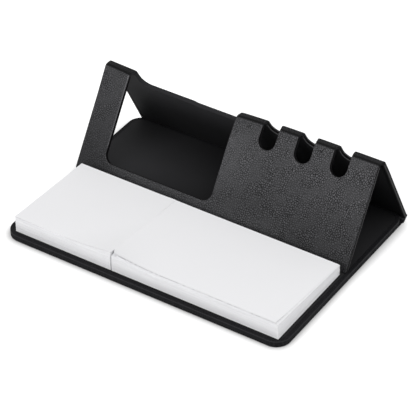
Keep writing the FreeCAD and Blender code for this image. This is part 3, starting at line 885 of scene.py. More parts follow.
class Cover:
    """The cover as a flat pattern. A flat place is x along it, v down it and a depth from its outer face;
    v is 0 on the ridge's middle and grows towards the front foot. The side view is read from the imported
    nodes. The mesh is closer beside a cut-out, at end_steps times the run of its bend, and the faint waves
    have a pace and a phase along and down the cover."""
    end_steps = np.array([0.35, 0.8, 1.4, 2.2])
    fan_steps = 6
    along_pace = 2.1
    along_phase = 0.7
    down_pace = 2.7
    down_phase = 0.4

    def __init__(self, sizes):
        self.sizes = sizes
        rear = node_points("rear_skin")[:, 1:]
        front = node_points("front_skin")[:, 1:]
        lining = node_points("front_lining")[:, 1:]
        ridge_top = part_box("ridge_leather")[1].z
        rear_low = rear[rear[:, 0].argmax()]
        rear_high = rear[rear[:, 1].argmax()]
        front_high = front[front[:, 1].argmax()]
        rear_up = unit(rear_high - rear_low)
        front_down = unit(lining[lining[:, 0].argmin()] - lining[lining[:, 1].argmax()])
        self.rear_crease = rear_high + rear_up * (ridge_top - rear_high[1]) / rear_up[1]
        self.front_crease = front_high + front_down * (ridge_top - front_high[1]) / front_down[1]
        rear_in, front_in, ridge_in = turned(rear_up), turned(front_down), np.array([0.0, -1.0])
        self.half_ridge = (self.rear_crease[0] - self.front_crease[0]) / 2
        self.thick = ((front - self.front_crease) @ front_in).max()
        rear_reach = ((self.rear_crease - rear) @ rear_up).max()
        front_reach = ((front - self.front_crease) @ front_down).max() + sizes.foot_reach
        self.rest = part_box("base_lining")[1].z + sizes.foot_rest
        self.half_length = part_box("rear_skin")[1].x + sizes.fullness
        self.rear_foot = -self.half_ridge - rear_reach
        self.front_foot = self.half_ridge + front_reach
        self.outer_places = np.array([self.rear_foot, -self.half_ridge, self.half_ridge, self.front_foot])
        self.outer_points = np.array([self.rear_crease - rear_up * rear_reach, self.rear_crease,
                                      self.front_crease, self.front_crease + front_down * front_reach])
        eased = self.half_ridge + sizes.mitre
        self.inward_places = np.array([self.rear_foot, -eased, -self.half_ridge, 0, self.half_ridge, eased,
                                       self.front_foot])
        self.inward_steps = np.array([rear_in, rear_in, mitre(rear_in, ridge_in), ridge_in,
                                      mitre(ridge_in, front_in), front_in, front_in])
        self.holes = self.cut_outs()

    def cut_outs(self):
        """The phone window and the pen slots, from left to right."""
        sizes, left, ridge = self.sizes, self.sizes.fullness - self.half_length, self.half_ridge
        holes = [Hole(left + sizes.window_left, sizes.window_width, -ridge - sizes.window_rear,
                      ridge + sizes.window_front, sizes.window_corner)]
        for number in range(sizes.slots):
            middle = left + sizes.slot_first + number * sizes.slot_pitch
            holes.append(Hole(middle - sizes.slot_width / 2, sizes.slot_width, -ridge - sizes.slot_rear,
                              ridge + sizes.slot_front, sizes.slot_width / 2))
        return holes

    def sag(self, x, v):
        """How far the ridge sags. It decays away from the window: right of it on the whole ridge, left of it
        on the front crease only. Less an even rise from the window towards both of the ridge's ends."""
        sizes, window = self.sizes, self.holes[0]
        right, left = np.maximum(x - window.right, 0), np.maximum(window.left - x, 0)
        front = smooth((v + self.half_ridge) / (2 * self.half_ridge))
        rise = sizes.rise * right / (self.half_length - window.right)
        rise = rise + sizes.post_rise * left / (self.half_length + window.left)
        post = sizes.post_droop * np.exp(-left / sizes.post_run) * front
        panel = sizes.droop * np.exp(-right / sizes.droop_run)
        return np.where(x > (window.left + window.right) / 2, panel, post) - rise

    def end_sag(self, x):
        """How far the ridge bends down at its cut ends: it decays away from each cut-out's side."""
        sides = np.array([side for hole in self.holes for side in (hole.left, hole.right)])
        distance = np.abs(x[..., None] - sides).min(axis=-1)
        return self.sizes.end_droop * np.exp(-distance / self.sizes.end_run)

    def skew(self, x, v):
        """How far places move along the cover, which is folded a little askew. To the right: the rear panel,
        in full at its left end, and the ridge beside the window. To the left: the front panel, in full at its
        right end, its left end more and more towards the foot, and the slots' right sides on the rear
        panel."""
        sizes, ridge = self.sizes, self.half_ridge
        window, slots = self.holes[0], self.holes[1:]
        right = (1 + x / self.half_length) / 2
        front = smooth((v + ridge) / (2 * ridge))
        by_post = np.exp(-((x - window.left) / sizes.slant_run) ** 2)
        run = sizes.rear_run + sizes.left_run * np.where(x < window.left, 1 - by_post, 0)
        down = smooth((-v - ridge) / run)
        near = sizes.slant * by_post
        rear = sizes.rear_shift * (1 - right) * (down + (1 - down) * near) + sizes.rear_widen * down * right
        for slot in slots:
            rear = rear - sizes.slot_slant * np.exp(-((x - slot.right) / sizes.slot_run) ** 2)
        lean = sizes.front_lean * np.clip((v - ridge) / (self.front_foot - ridge), 0, 1) * (1 - right)
        return rear * (1 - front) - sizes.front_shift * front * right - lean

    def place(self, flat):
        """The folded place of flat places: outer line + depth * inward step, less the ridge's sag. The front
        foot is flat where it stands on the base."""
        x, v, depth = np.moveaxis(flat, -1, 0)
        outer = eased_line(v, self.outer_places, self.outer_points, self.sizes.crease)
        inward = eased_line(v, self.inward_places, self.inward_steps, self.sizes.crease)
        y, z = np.moveaxis(outer + depth[..., None] * inward, -1, 0)
        past = np.abs(v) - self.half_ridge
        sag = self.sag(x, v) * smooth(1 - past / self.sizes.droop_fade)
        end_sag = self.end_sag(x) * smooth(1 - past / self.sizes.end_fade)
        z = np.where(v > 0, np.maximum(z - sag - end_sag, self.rest), z - sag - end_sag)
        return np.stack([x + self.skew(x, v), y, z], axis=-1)

    def thickness(self, v, ridge_thick):
        """Leather, board and lining together: the panel's thickness, and less on the ridge."""
        rise = smooth((np.abs(v) - self.half_ridge) / self.sizes.shoulder)
        return ridge_thick + (self.thick - ridge_thick) * rise

    def rows(self, start, end):
        """Places down the cover: close together over the folds, and one at each hole's corner starts."""
        sizes, ridge = self.sizes, self.half_ridge
        marks = [start, end, -ridge - sizes.mitre, ridge + sizes.mitre]
        for hole in self.holes:
            marks += [hole.rear + hole.corner, hole.front - hole.corner]
        marks = ordered([mark for mark in marks if start <= mark <= end])
        runs = []
        for first, last in zip(marks[:-1], marks[1:]):
            folded = abs(first + last) / 2 < ridge + sizes.mitre
            spacing = sizes.fold_row if folded else sizes.row
            runs.append(spaced(first, last, spacing)[:-1])
        return np.concatenate(runs + [marks[-1:]])

    def bands(self, inset):
        """Runs of places along the cover, each with the hole that it crosses or None."""
        edges = [-self.half_length + inset]
        for hole in self.holes:
            edges += [hole.left, hole.right]
        edges.append(self.half_length - inset)
        runs = []
        for number, (first, last) in enumerate(zip(edges[:-1], edges[1:])):
            if number % 2:
                hole = self.holes[number // 2]
                runs.append((hole.columns(self.sizes.column), hole))
            else:
                even = spaced(first, last, self.sizes.column)
                near = self.sizes.end_run * self.end_steps
                runs.append((np.unique(np.concatenate([even, first + near, last - near])), None))
        return runs

    def nets(self, inset, start, end, depth):
        """Grids that cover the flat pattern around its holes, with a depth for each place."""
        rows = self.rows(start, end)
        nets = []
        for columns, hole in self.bands(inset):
            if hole is None:
                parts = [np.broadcast_to(rows[:, None], (len(rows), len(columns)))]
            else:
                parts = self.hole_ends(rows, columns, hole)
            for v in parts:
                x = np.broadcast_to(columns[None, :], v.shape)
                nets.append(np.stack([x, v, depth(x, v)], axis=-1))
        return nets

    def hole_ends(self, rows, columns, hole):
        """The rows behind and in front of a hole, where the pattern reaches that far. They are moved so that
        the nearest one follows the hole's end: v = far + (row - far) * (end - far) / (nearest - far)."""
        parts = []
        first, last = hole.rear + hole.corner, hole.front - hole.corner
        if rows[0] < hole.rear:
            near = rows[rows <= first + MERGE_DISTANCE]
            end = first - hole.bulge(columns)
            far = near[0]
            parts.append(far + (near[:, None] - far) * (end - far) / (first - far))
        if rows[-1] > hole.front:
            near = rows[rows >= last - MERGE_DISTANCE]
            end = last + hole.bulge(columns)
            far = near[-1]
            parts.append(far + (near[:, None] - far) * (end - far) / (last - far))
        return parts

    def wrap(self):
        """The leather round both ends and the front foot: the flat pattern's border, moved outwards on a
        quarter circle, down the edge, back inwards on another quarter circle and along the turned-in lip."""
        sizes = self.sizes
        side, foot = self.half_length - sizes.edge, self.front_foot - sizes.edge
        rows = self.rows(self.rear_foot, foot)
        columns = np.concatenate([run for run, hole in self.bands(sizes.edge)])
        fan = quarter_turn(self.fan_steps)
        one, across, corner = np.ones(len(rows)), np.ones(len(columns)), np.ones(len(fan))
        x = np.concatenate([-side * one, -side * corner, columns, side * corner, side * one])
        v = np.concatenate([rows, foot * corner, foot * across, foot * corner, rows[::-1]])
        out_x = np.concatenate([-one, -np.cos(fan), 0 * across, np.sin(fan), one])
        out_v = np.concatenate([0 * one, np.sin(fan), across, np.cos(fan), 0 * one])
        thick = self.thickness(v, sizes.ridge_end_thick)
        depth_round = np.minimum(sizes.edge, thick / 2)
        arc = quarter_turn(ARC_STEPS)
        lip = [sizes.edge - sizes.turn_in]
        outs = np.concatenate([sizes.edge * np.sin(arc), sizes.edge * np.cos(arc), lip])
        pressed = self.relief(x, v)
        depths = [pressed + (depth_round - pressed) * (1 - np.cos(turn)) for turn in arc]
        depths += [thick - depth_round * (1 - np.sin(turn)) for turn in arc]
        depths = np.stack(depths + [thick], axis=-1)
        reach = np.where(outs < 0, sizes.turn_in - sizes.edge, 0)
        wrapped_x = np.clip(x[:, None] + outs * out_x[:, None], -side - outs, side + outs)
        wrapped_v = np.minimum(v[:, None] + outs * out_v[:, None], foot + outs)
        wrapped_x = np.where(reach > 0, np.clip(wrapped_x, reach - side, side - reach), wrapped_x)
        return np.stack([wrapped_x, wrapped_v, depths], axis=-1)

    def relief(self, x, v):
        """Depth of the leather's face: a line pressed along each crease, depth * exp(-(distance / width)^2),
        and faint waves, a product of two slow sine waves that fades out at the folds and edges."""
        sizes = self.sizes
        line = np.exp(-((np.abs(v) - self.half_ridge) / sizes.press_width) ** 2)
        swell = np.sin(x / sizes.wave_run * self.along_pace + self.along_phase)
        swell = swell * np.sin(v / sizes.wave_run * self.down_pace + self.down_phase)
        calm = smooth((np.abs(v) - self.half_ridge) / sizes.droop_fade)
        calm = calm * smooth((self.half_length - np.abs(x)) / sizes.droop_fade)
        calm = calm * smooth((self.front_foot - v) / sizes.droop_fade)
        return sizes.press * line + sizes.wave * swell * calm


class MEMO_OT_cover(bpy.types.Operator):
    """Leather, boards and lining of the cover, folded over the ridge"""
    bl_idname = "memo.cover"
    bl_label = "Cover"

    def execute(self, context):
        sizes = context.scene.memo_cover
        look = context.scene.memo_finish
        cover = Cover(sizes)
        leather = CoverLeather("cover_leather", look.leather, look.leather_valley, cover).material
        cut = cut_leather()
        self.leather(cover, leather, cut)
        self.boards(cover, dyed_board())
        # painted shade towards the tent's right end, and down the rear panel towards its foot
        painted_shading = (("X", 0.030, 0.095, 0.50), ("Y", -0.012, -0.050, 0.45))
        lining = smooth_lining("cover_lining", look.lining, painted_shading, folded=True)
        self.lining(cover, [lining, cut])
        return {"FINISHED"}

    def folded(self, cover, name, grids, finishes):
        """A piece from grids of flat places."""
        flat, faces = join_grids(grids)
        return make_piece(name, cover.place(flat), faces, finishes, flat)

    def across_ridge(self, cover, piece):
        """Bakes a piece's place into its mesh; the creases that it reads are not used."""
        start, end = cover.rear_crease, cover.front_crease
        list(start)
        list(end)
        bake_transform(piece)

    def leather(self, cover, leather, cut):
        """One sheet over both panels, turned over their edges, with cut edges round the holes."""
        sizes = cover.sizes
        nets = cover.nets(sizes.edge, cover.rear_foot, cover.front_foot - sizes.edge, cover.relief)
        piece = self.folded(cover, "cover_leather", nets + [cover.wrap()[:, ::-1]], [leather, cut])
        thicken(piece, sizes.leather, rim_finish=1)
        ease_edges(piece, sizes.cut_edge)
        settle(piece)
        self.across_ridge(cover, piece)
        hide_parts("rear_skin", "front_skin", "ridge_leather")

    def boards(self, cover, finish):
        """The two boards, which show in the cut edges."""
        sizes = cover.sizes
        gap = cover.half_ridge + sizes.board_gap
        ends = {
            "rear": (cover.rear_foot + sizes.leather, -gap),
            "front": (gap, cover.front_foot - sizes.board_inset),
        }
        thick = cover.thick - sizes.leather - sizes.lining
        for panel, (start, end) in ends.items():
            nets = cover.nets(sizes.board_inset, start, end, lambda x, v: np.full(x.shape, sizes.leather))
            piece = self.folded(cover, panel + "_board_sheet", nets, [finish])
            thicken(piece, thick, rim_finish=0)
            settle(piece)
            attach(piece, panel + "_panel")
            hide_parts(panel + "_board")

    def lining(self, cover, finishes):
        """The lining inside the tent, from the rear foot over the ridge to the front foot."""
        sizes = cover.sizes

        def depth(x, v):
            return cover.thickness(v, sizes.ridge_thick)

        start, end = cover.rear_foot + sizes.lining, cover.front_foot - sizes.turn_in
        nets = [net[:, ::-1] for net in cover.nets(sizes.turn_in, start, end, depth)]
        piece = self.folded(cover, "cover_lining", nets, finishes)
        thicken(piece, sizes.lining, rim_finish=1)
        settle(piece)
        self.across_ridge(cover, piece)
        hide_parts("rear_lining", "front_lining")


class MEMO_OT_hinge(bpy.types.Operator):
    """Leather strip between the base and the rear panel"""
    bl_idname = "memo.hinge"
    bl_label = "Hinge"
    rows = 40
    columns = 80

    def execute(self, context):
        sizes = context.scene.memo_cover
        look = context.scene.memo_finish
        strip = node_points("hinge_leather")
        low = strip.min(axis=0)
        crease = strip[strip[:, 1].argmax(), 1:]
        panel = node_points("rear_skin")
        foot = panel[panel[:, 1].argmax(), 1:]
        tuck = context.scene.memo_base.foot_edge
        corners = np.array([[low[1] - tuck, low[2]], low[1:], crease, foot])
        steps = np.linalg.norm(np.diff(corners, axis=0), axis=1)
        places = np.concatenate([[0], np.cumsum(steps)])
        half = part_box("rear_skin")[1].x + sizes.fullness
        across = np.linspace(sizes.rear_shift - half, half + sizes.rear_widen, self.columns)
        x, v = np.meshgrid(across, np.linspace(0, places[-1], self.rows))
        line = eased_line(v, places, corners, sizes.crease / 2)
        points, faces = join_grids([np.concatenate([x[..., None], line], axis=-1)])
        flat = np.stack([x, v, np.zeros(x.shape)], axis=-1).reshape(-1, 3)
        leather = Leather("hinge_leather", look.leather, look.leather_valley).material
        piece = make_piece("hinge_strip", points, faces, [leather, cut_leather()], flat)
        thicken(piece, sizes.leather, rim_finish=1)
        ease_edges(piece, sizes.cut_edge)
        settle(piece)
        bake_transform(piece)
        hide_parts("hinge_leather")
        return {"FINISHED"}


class MEMO_OT_base(bpy.types.Operator):
    """Leather and lining of the base"""
    bl_idname = "memo.base"
    bl_label = "Base"

    def execute(self, context):
        sizes = context.scene.memo_base
        look = context.scene.memo_finish
        low, high = (np.array(corner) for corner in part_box("base_skin"))
        full = np.array([sizes.fullness, sizes.fullness, 0])
        round_corners = [sizes.corner] * 4
        sole_corners = [sizes.sole_corner] * 2 + [sizes.corner] * 2
        path, outward = rounded_rectangle(low - full, high + full, round_corners)
        sole, outward = rounded_rectangle(low - full, high + full, sole_corners)
        top = float(high[2])
        valley = shade(look.base_leather, 0.5)
        leather = BaseLeather("base_leather", look.base_leather, valley, top).material
        self.skin(sizes, sole, path, outward, top, leather)
        # painted shade from left to right, painted light at the right end, and painted shade towards the rear
        painted_shading = (("X", -0.09, 0.02, 0.44), ("X", 0.04, 0.085, 1.75), ("Y", 0.030, 0.078, 0.70))
        self.lining(sizes, path, outward, top, smooth_lining("base_lining", look.base_lining, painted_shading))
        return {"FINISHED"}

    def skin(self, sizes, sole, path, outward, top, finish):
        """The leather round the board: its lower edge follows the sole, and the rest the base's outline."""
        below, above = self.sole_profile(sizes), self.skin_profile(sizes, top)
        paths = np.stack([sole] * len(below) + [path] * len(above), axis=1)
        skin = profile_solid("base_leather", paths, outward, below + above, [finish])
        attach(skin, "base")
        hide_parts("base_skin")

    def lining(self, sizes, path, outward, top, finish):
        """The lining inside the leather's lip."""
        section = self.lining_profile(sizes, top)
        lining = profile_solid("base_lining_sheet", path[:, None, :], outward, section, [finish])
        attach(lining, "base")
        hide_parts("base_lining")

    def sole_profile(self, sizes):
        """Inset and height of the leather's section round the base's lower edge."""
        edge, arc = sizes.foot_edge, quarter_turn(ARC_STEPS)
        return [(edge * (1 - math.sin(turn)), edge * (1 - math.cos(turn))) for turn in arc]

    def skin_profile(self, sizes, top):
        """Inset and height of the leather's section up the base's side, over its top as a lip, and back along
        its inner face."""
        edge, skin, lip = sizes.edge, sizes.leather, top - sizes.lining
        side = [(0, sizes.foot_edge)]
        upper = [(edge * (1 - math.cos(turn)), top - edge * (1 - math.sin(turn)))
                 for turn in quarter_turn(ARC_STEPS)]
        inner = [(sizes.turn_in, top), (sizes.turn_in, lip), (skin, lip), (skin, skin)]
        return side + upper + inner

    def lining_profile(self, sizes, top):
        """Inset and height of the lining's section, with an eased upper edge."""
        inset, bevel = sizes.turn_in, sizes.lining_round
        return [(inset, top - sizes.lining), (inset, top - bevel), (inset + bevel, top)]


class Pad:
    """One note pad: its box, the height of its top and the way its sheets stray. The seam is where the pads
    meet, and flat_back is the share of the rise along it that is gone at the back."""
    parting = 0
    dip = 0
    follow = 0
    flat_back = 0.6
    layer_steps = np.array([0.0, 0.3, 0.7])
    drift_group = 9
    slow_pace = 8
    fast_pace = 30
    swing = 0.8

    def __init__(self, prefix, sizes, seam, seed):
        points = node_points(prefix + "_sheets")
        self.sizes = sizes
        self.seam = seam
        self.low, self.high = points.min(axis=0), points.max(axis=0)
        back = points[points[:, 1] > self.high[1] - sizes.sheet]
        self.back_top = back[:, 2].max() + sizes.spring
        self.front_top = self.high[2]
        self.random = np.random.default_rng(seed)

    def level(self, x, y):
        """Height of the pad without its curl: a straight rise from its sprung back to its front, and a
        parabola, lift * (1 - distance / run)^2, up to the seam that fades out at the front, and at a flat
        back too."""
        sizes = self.sizes
        share = (self.high[1] - y) / (self.high[1] - self.low[1])
        ridge = np.clip(1 - np.abs(x - self.seam) / sizes.seam_run, 0, 1) ** 2
        ridge = ridge * smooth((y - self.low[1]) / sizes.curl_depth)
        ridge = ridge * (1 - self.flat_back * smooth(1 - (self.high[1] - y) / sizes.curl_depth))
        return self.back_top + (self.front_top - self.back_top) * share + sizes.seam_lift * ridge

    def top(self, x, y):
        """Height of the stack: its level, its share of the curl, and a dip at its left front corner."""
        near = 1 - (x - self.low[0] + y - self.low[1]) / self.sizes.dip_run
        return self.level(x, y) + self.follow * self.curl(x, y, self.seam) - self.dip * smooth(near)

    def border(self):
        """Points round the pad, and the directions outwards, from the front left corner."""
        x = np.linspace(self.low[0], self.high[0], self.sizes.columns + 1)
        y = np.linspace(self.low[1], self.high[1], self.sizes.rows + 1)
        across, deep = np.ones(len(x) - 1), np.ones(len(y) - 1)
        edge_x = np.concatenate([x[:-1], x[-1] * deep, x[:0:-1], x[0] * deep, x[:1]])
        edge_y = np.concatenate([y[0] * across, y[:-1], y[-1] * across, y[:0:-1], y[:1]])
        out_x = np.concatenate([0 * across, deep, 0 * across, -deep, [0]])
        out_y = np.concatenate([-across, 0 * deep, across, 0 * deep, [-1]])
        return edge_x, edge_y, out_x, out_y

    def walls(self):
        """The stack's four sides: rows of sheet edges, each moved out by its own stray and its group's drift,
        with a groove below each sheet. Rows run from bottom to top in equal shares of the stack's height. A
        sheet's stray swings along its edge: stray * (1 + swing * sin(along * pace + phase))."""
        sizes, layers, group = self.sizes, self.sizes.layers, self.drift_group
        x, y, out_x, out_y = self.border()
        steps = len(self.layer_steps)
        level = np.append((np.arange(layers)[:, None] + self.layer_steps).ravel(), layers)
        stray = self.random.normal(0, sizes.stray, layers)[:, None]
        single = self.random.normal(0, sizes.drift, layers + group - 1)
        drift = np.convolve(single, np.ones(group) / math.sqrt(group), "valid")[:, None]
        pace = self.random.uniform(self.slow_pace, self.fast_pace, layers)[:, None]
        phase = self.random.uniform(0, math.tau, layers)[:, None]
        out = drift + stray * (1 + self.swing * np.sin((x + y) * pace + phase))
        out = np.repeat(out - out.max(), steps, axis=0)
        out[::steps] -= sizes.groove
        out = np.concatenate([out, 0 * out[:1]])
        out[0] = 0
        if self.parting:
            out[round(self.parting * layers) * steps] -= sizes.parting_depth
        height = self.low[2] + level[:, None] / layers * (self.top(x, y) - self.low[2])
        # share of the painted shade at the foot: all of it on the front, side_shade on the sides
        foot_shade = np.where(out_y < 0, 1.0, sizes.side_shade)
        flat = np.broadcast_arrays(x + y, level[:, None] * sizes.sheet, foot_shade)
        walls = np.stack([x + out * out_x, y + out * out_y, height], axis=-1)
        return walls, np.stack(flat, axis=-1)

    def grid(self, low, high):
        """Places x and y over a rectangle between two corners."""
        x = np.linspace(low[0], high[0], self.sizes.columns + 1)
        y = np.linspace(low[1], high[1], self.sizes.rows + 1)
        return np.meshgrid(x, y)

    def lid(self, height):
        """A grid over the whole stack at one height, or at the height of its top if none is given."""
        x, y = self.grid(self.low, self.high)
        z = self.top(x, y) if height is None else np.full(x.shape, height)
        return np.stack([x, y, z], axis=-1)

    def curl(self, x, y, corner):
        """How far a sheet curls up: a parabola towards the front corner at x = corner, height * t^2 with
        t = 1 - dx / run - dy / depth."""
        sizes = self.sizes
        t = 1 - np.abs(x - corner) / sizes.curl_run - (y - self.low[1]) / sizes.curl_depth
        return sizes.curl * np.clip(t, 0, 1) ** 2

    def standing(self, x, y):
        """How far the top sheet stands off along its front: nothing at the glued band, most at the front."""
        crease = self.high[1] - self.sizes.band
        return self.sizes.ease * np.clip((crease - y) / (crease - self.low[1]), 0, 1) ** 2


class SmallPad(Pad):
    """The left pad: its stack spreads and parts a little; its top sheet lies flat but for its left end."""

    def __init__(self, sizes, seam):
        super().__init__("small_pad", sizes, seam, seed=5)
        self.parting = sizes.parting
        self.high[0] += sizes.spread

    def leaf(self):
        """Places x and y of the top sheet, and its height over the pad's level."""
        sizes = self.sizes
        x, y = self.grid(self.low, self.high + (sizes.meet - sizes.spread, 0, 0))
        standing = self.standing(x, y) * smooth(1 - (x - self.low[0]) / sizes.ease_run)
        return x, y, self.curl(x, y, self.seam) + standing


class LargePad(Pad):
    """The right pad: its stack dips at the seam, and its top sheet curls up at both front corners."""
    flat_back = 0.85

    def __init__(self, sizes, seam):
        super().__init__("large_pad", sizes, seam, seed=9)
        self.dip = sizes.dip
        self.follow = sizes.follow

    def leaf(self):
        """Places x and y of the top sheet, and its height over the pad's level. The left corner is drawn back
        from the seam by fold_back * t^2; the right one is drawn in by corner_draw * t^2, slips forward by
        corner_slip * t^2 and curls up by corner_lift * t^2; t falls from 1 at the corner to 0 along both
        edges."""
        sizes = self.sizes
        x, y = self.grid(self.low + (0, sizes.setback, 0), self.high - (sizes.inset, 0, 0))
        deep = y - self.low[1] - sizes.setback
        left = np.clip(1 - (x - self.low[0]) / sizes.curl_run - deep / sizes.fold_depth, 0, 1)
        right = np.clip(1 - (self.high[0] - sizes.inset - x + deep) / sizes.corner_run, 0, 1)
        height = self.curl(x, y, self.seam) + self.standing(x, y) + sizes.corner_lift * right ** 2
        beside = (self.high[0] - sizes.inset - x) / sizes.corner_run + deep / sizes.side_run
        x = x + sizes.fold_back * left ** 2 - sizes.corner_draw * np.clip(1 - beside, 0, 1) ** 2
        return x, y - sizes.corner_slip * right ** 2, height


class MEMO_OT_pads(bpy.types.Operator):
    """The two note pads: stacks of sheets, fanned sheets and loose top sheets"""
    bl_idname = "memo.pads"
    bl_label = "Note pads"

    def execute(self, context):
        sizes = context.scene.memo_pads
        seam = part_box("large_pad_sheets")[0].x
        pads = {"small": SmallPad(sizes, seam), "large": LargePad(sizes, seam)}
        edges, face = paper_edges(sizes.layers * sizes.sheet), paper_face()
        for word, pad in pads.items():
            self.stack(word + "_pad", pad, [edges, face])
        self.fan("small_pad", pads["small"], pads["small"].high[0], face)
        for word, pad in pads.items():
            self.top_sheet(word, pad, face)
        return {"FINISHED"}

    def stack(self, prefix, pad, finishes):
        """The glued stack below the top sheet, closed above and below by plain sheets."""
        walls, wall_flat = pad.walls()
        lid = pad.lid(None)[:, ::-1]
        floor = pad.lid(pad.low[2])
        points, faces = join_grids([walls[:, ::-1], lid, floor])
        ends = np.concatenate([lid.reshape(-1, 3), floor.reshape(-1, 3)])
        flat = np.concatenate([wall_flat[:, ::-1].reshape(-1, 3), ends * (1, 1, 0)])
        piece = make_piece(prefix + "_stack", points, faces, finishes, flat)
        middles = np.empty(3 * len(piece.data.polygons))
        piece.data.polygons.foreach_get("center", middles)
        places = middles.reshape(-1, 3)[:, :2]
        inner = (places > pad.low[:2] + pad.sizes.margin) & (places < pad.high[:2] - pad.sizes.margin)
        piece.data.polygons.foreach_set("material_index", inner.all(axis=1).astype(int))
        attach(piece, "base")
        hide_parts(prefix + "_sheets")

    def fan(self, prefix, pad, corner, finish):
        """Groups of sheets that stand apart under a curled corner, each with an even share of the curl. Where
        they lie flat they rest on one another, a third of a sheet apart."""
        sizes = pad.sizes
        apart = sizes.sheet / 3
        x, y = pad.grid((corner - sizes.curl_run, pad.low[1]), (corner, pad.low[1] + sizes.curl_depth))
        level, curl = pad.level(x, y) + apart, pad.curl(x, y, corner)
        grids = []
        for number in range(sizes.fan):
            low, high = (number + sizes.fan_gap) / sizes.fan, (number + 1) / sizes.fan
            rest = level - (sizes.fan - 1 - number) * apart
            bottom = np.stack([x, y, rest + low * curl - apart / 2], axis=-1)
            top = np.stack([x, y, rest + high * curl], axis=-1)
            grids += slab(top[:, ::-1], bottom[:, ::-1])
        points, faces = join_grids(grids)
        piece = make_piece(prefix + "_fan", points, faces, [finish])
        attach(piece, "base")

    def top_sheet(self, word, pad, finish):
        """The loose top sheet, glued along the pad's back and curled at its front."""
        sizes = pad.sizes
        x, y, height = pad.leaf()
        top = np.stack([x, y, pad.level(x, y) + sizes.top_sheets + height], axis=-1)[:, ::-1]
        points, faces = join_grids(slab(top, top - (0, 0, sizes.top_sheets)))
        piece = make_piece(word + "_pad_leaf", points, faces, [finish])
        middle = (pad.low[0] + pad.high[0]) / 2
        crease = pad.high[1] - sizes.band
        height = pad.top(middle, crease)
        crease - sizes.bend
        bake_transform(piece)
        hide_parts(word + "_pad_top_sheet")


class MEMO_OT_inside(bpy.types.Operator):
    """Finishes of the pieces inside: board, discs, tapes and backing cards"""
    bl_idname = "memo.inside"
    bl_label = "Inside"

    def execute(self, context):
        look = context.scene.memo_finish
        card = plain_card("backing_card", look.card, size=0.0012)
        tape = plain_card("mounting_tape", look.tape, size=0.0007)
        finishes = {
            "base_board": dyed_board(),
            "keeper_discs": metal("keeper_steel", look.steel, roughness=0.42),
            "foot_magnets": metal("magnet_nickel", look.nickel, roughness=0.24),
            "small_pad_tape": tape,
            "large_pad_tape": tape,
            "small_pad_backing": card,
            "large_pad_backing": card,
        }
        for node, finish in finishes.items():
            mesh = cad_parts[node].data
            mesh.materials.clear()
            mesh.materials.append(finish)
        return {"FINISHED"}


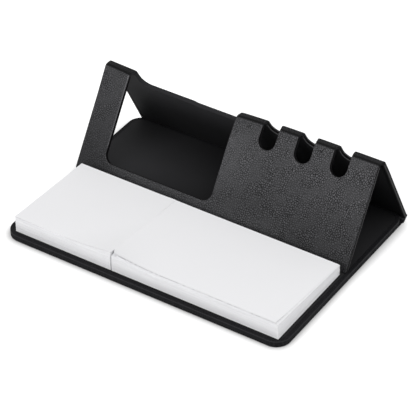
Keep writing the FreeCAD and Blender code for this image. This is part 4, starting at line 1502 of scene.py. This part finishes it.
class MEMO_OT_stage(bpy.types.Operator):
    """Floor, light and camera"""
    bl_idname = "memo.stage"
    bl_label = "Stage"

    def execute(self, context):
        settings = context.scene.memo_stage
        self.floor(settings)
        self.sky(context.scene, settings)
        self.lamp("key_light", settings.key_power, settings.key_size, settings.key_place)
        self.lamp("top_light", settings.top_power, settings.top_size, settings.top_place)
        self.camera(context.scene, settings)
        context.scene.view_settings.view_transform = "Standard"
        return {"FINISHED"}

    def floor(self, settings):
        """A wide pale floor that keeps the object's shadow. The white that the camera adds to it fades out
        close to the base, which paints a contact shadow round the base over the real one."""
        half = settings.floor_size / 2
        corners = np.array([[-half, -half, 0], [half, -half, 0], [half, half, 0], [-half, half, 0]])
        finish = Finish("studio_floor")
        # the glow fades near the base: painted contact shadow
        clear = finish.ramp(self.clearance(finish, settings.contact_corner), 0, settings.contact_run)
        glow = finish.mix(finish.seen() * clear, BLACK, (settings.floor_glow,) * 3)
        finish.set(Base_Color=settings.floor, Roughness=0.9, Specular_IOR_Level=0.0,
                   Emission_Color=glow, Emission_Strength=1.0)
        make_piece("studio_floor", corners, [[0, 1, 2, 3]], [finish.material])

    def clearance(self, finish, corner):
        """How far a place of the floor is from the base's outline, which has rounded corners: with c the
        outline's middle and h its half size less the corner's radius r, |max(|p - c| - h, 0)| - r."""
        low, high = (np.array(end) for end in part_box("base_skin"))
        squares = 0
        for axis, middle, half in zip("XY", (low + high) / 2, (high - low) / 2 - corner):
            past = abs(finish.part(finish.place(), axis) - middle) - half
            beyond = finish.maths("MAXIMUM", past, 0)
            squares = beyond * beyond + squares
        return finish.maths("SQRT", squares, 0) - corner

    def sky(self, scene, settings):
        """Even light from all round, and white behind the object."""
        world = bpy.data.worlds.new("studio")
        world.use_nodes = True
        scene.world = world
        sky = Nodes(world.node_tree)
        background = world.node_tree.nodes["Background"]
        sky.put(background.inputs["Color"], WHITE)
        sky.put(background.inputs["Strength"], sky.seen() * (1 - settings.sky) + settings.sky)

    def lamp(self, name, power, size, place):
        """A square soft light that looks at the object."""
        light = bpy.data.lights.new(name, "AREA")
        light.energy = power
        light.size = size
        lamp = bpy.data.objects.new(name, light)
        lamp.location = place
        lamp.rotation_euler = (-Vector(place)).to_track_quat("-Z", "Y").to_euler()
        bpy.context.scene.collection.objects.link(lamp)

    def camera(self, scene, settings):
        """A long lens that looks at the aim from an azimuth and an elevation, rolled about its axis."""
        turn, level = settings.azimuth, math.cos(settings.elevation)
        back = Vector((math.sin(turn) * level, -math.cos(turn) * level, math.sin(settings.elevation)))
        data = bpy.data.cameras.new("camera")
        data.lens = settings.lens
        camera = bpy.data.objects.new("camera", data)
        camera.location = Vector(settings.aim) + back * settings.distance
        camera.rotation_mode = "QUATERNION"
        roll = Quaternion((0, 0, 1), settings.roll)
        camera.rotation_quaternion = (-back).to_track_quat("-Z", "Y") @ roll
        scene.collection.objects.link(camera)
        scene.camera = camera


class MEMO_PT_sidebar(bpy.types.Panel):
    """Buttons and sizes of the memo organizer"""
    bl_idname = "MEMO_PT_sidebar"
    bl_label = "Memo organizer"
    bl_space_type = "VIEW_3D"
    bl_region_type = "UI"
    bl_category = "Memo organizer"

    def draw(self, context):
        for step in STEPS:
            self.layout.operator(step.bl_idname)
        for name, group in GROUPS.items():
            box = self.layout.box()
            for field in group.__annotations__:
                box.prop(getattr(context.scene, name), field)


GROUPS = {
    "memo_cover": MEMO_PG_cover,
    "memo_base": MEMO_PG_base,
    "memo_pads": MEMO_PG_pads,
    "memo_finish": MEMO_PG_finish,
    "memo_stage": MEMO_PG_stage,
}
STEPS = (MEMO_OT_base, MEMO_OT_cover, MEMO_OT_hinge, MEMO_OT_pads, MEMO_OT_inside, MEMO_OT_stage)


def register():
    """Makes the settings, the operators and the panel known."""
    for name, group in GROUPS.items():
        bpy.utils.register_class(group)
        setattr(bpy.types.Scene, name, PointerProperty(type=group))
    for step in STEPS:
        bpy.utils.register_class(step)
    bpy.utils.register_class(MEMO_PT_sidebar)


def unregister():
    """Takes them all away again."""
    bpy.utils.unregister_class(MEMO_PT_sidebar)
    for step in reversed(STEPS):
        bpy.utils.unregister_class(step)
    for name, group in GROUPS.items():
        delattr(bpy.types.Scene, name)
        bpy.utils.unregister_class(group)


def main():
    """Dresses the frame."""
    register()
    bpy.ops.memo.base()
    bpy.ops.memo.cover()
    bpy.ops.memo.hinge()
    bpy.ops.memo.pads()
    bpy.ops.memo.inside()
    bpy.ops.memo.stage()


if __name__ == "__main__":
    main()
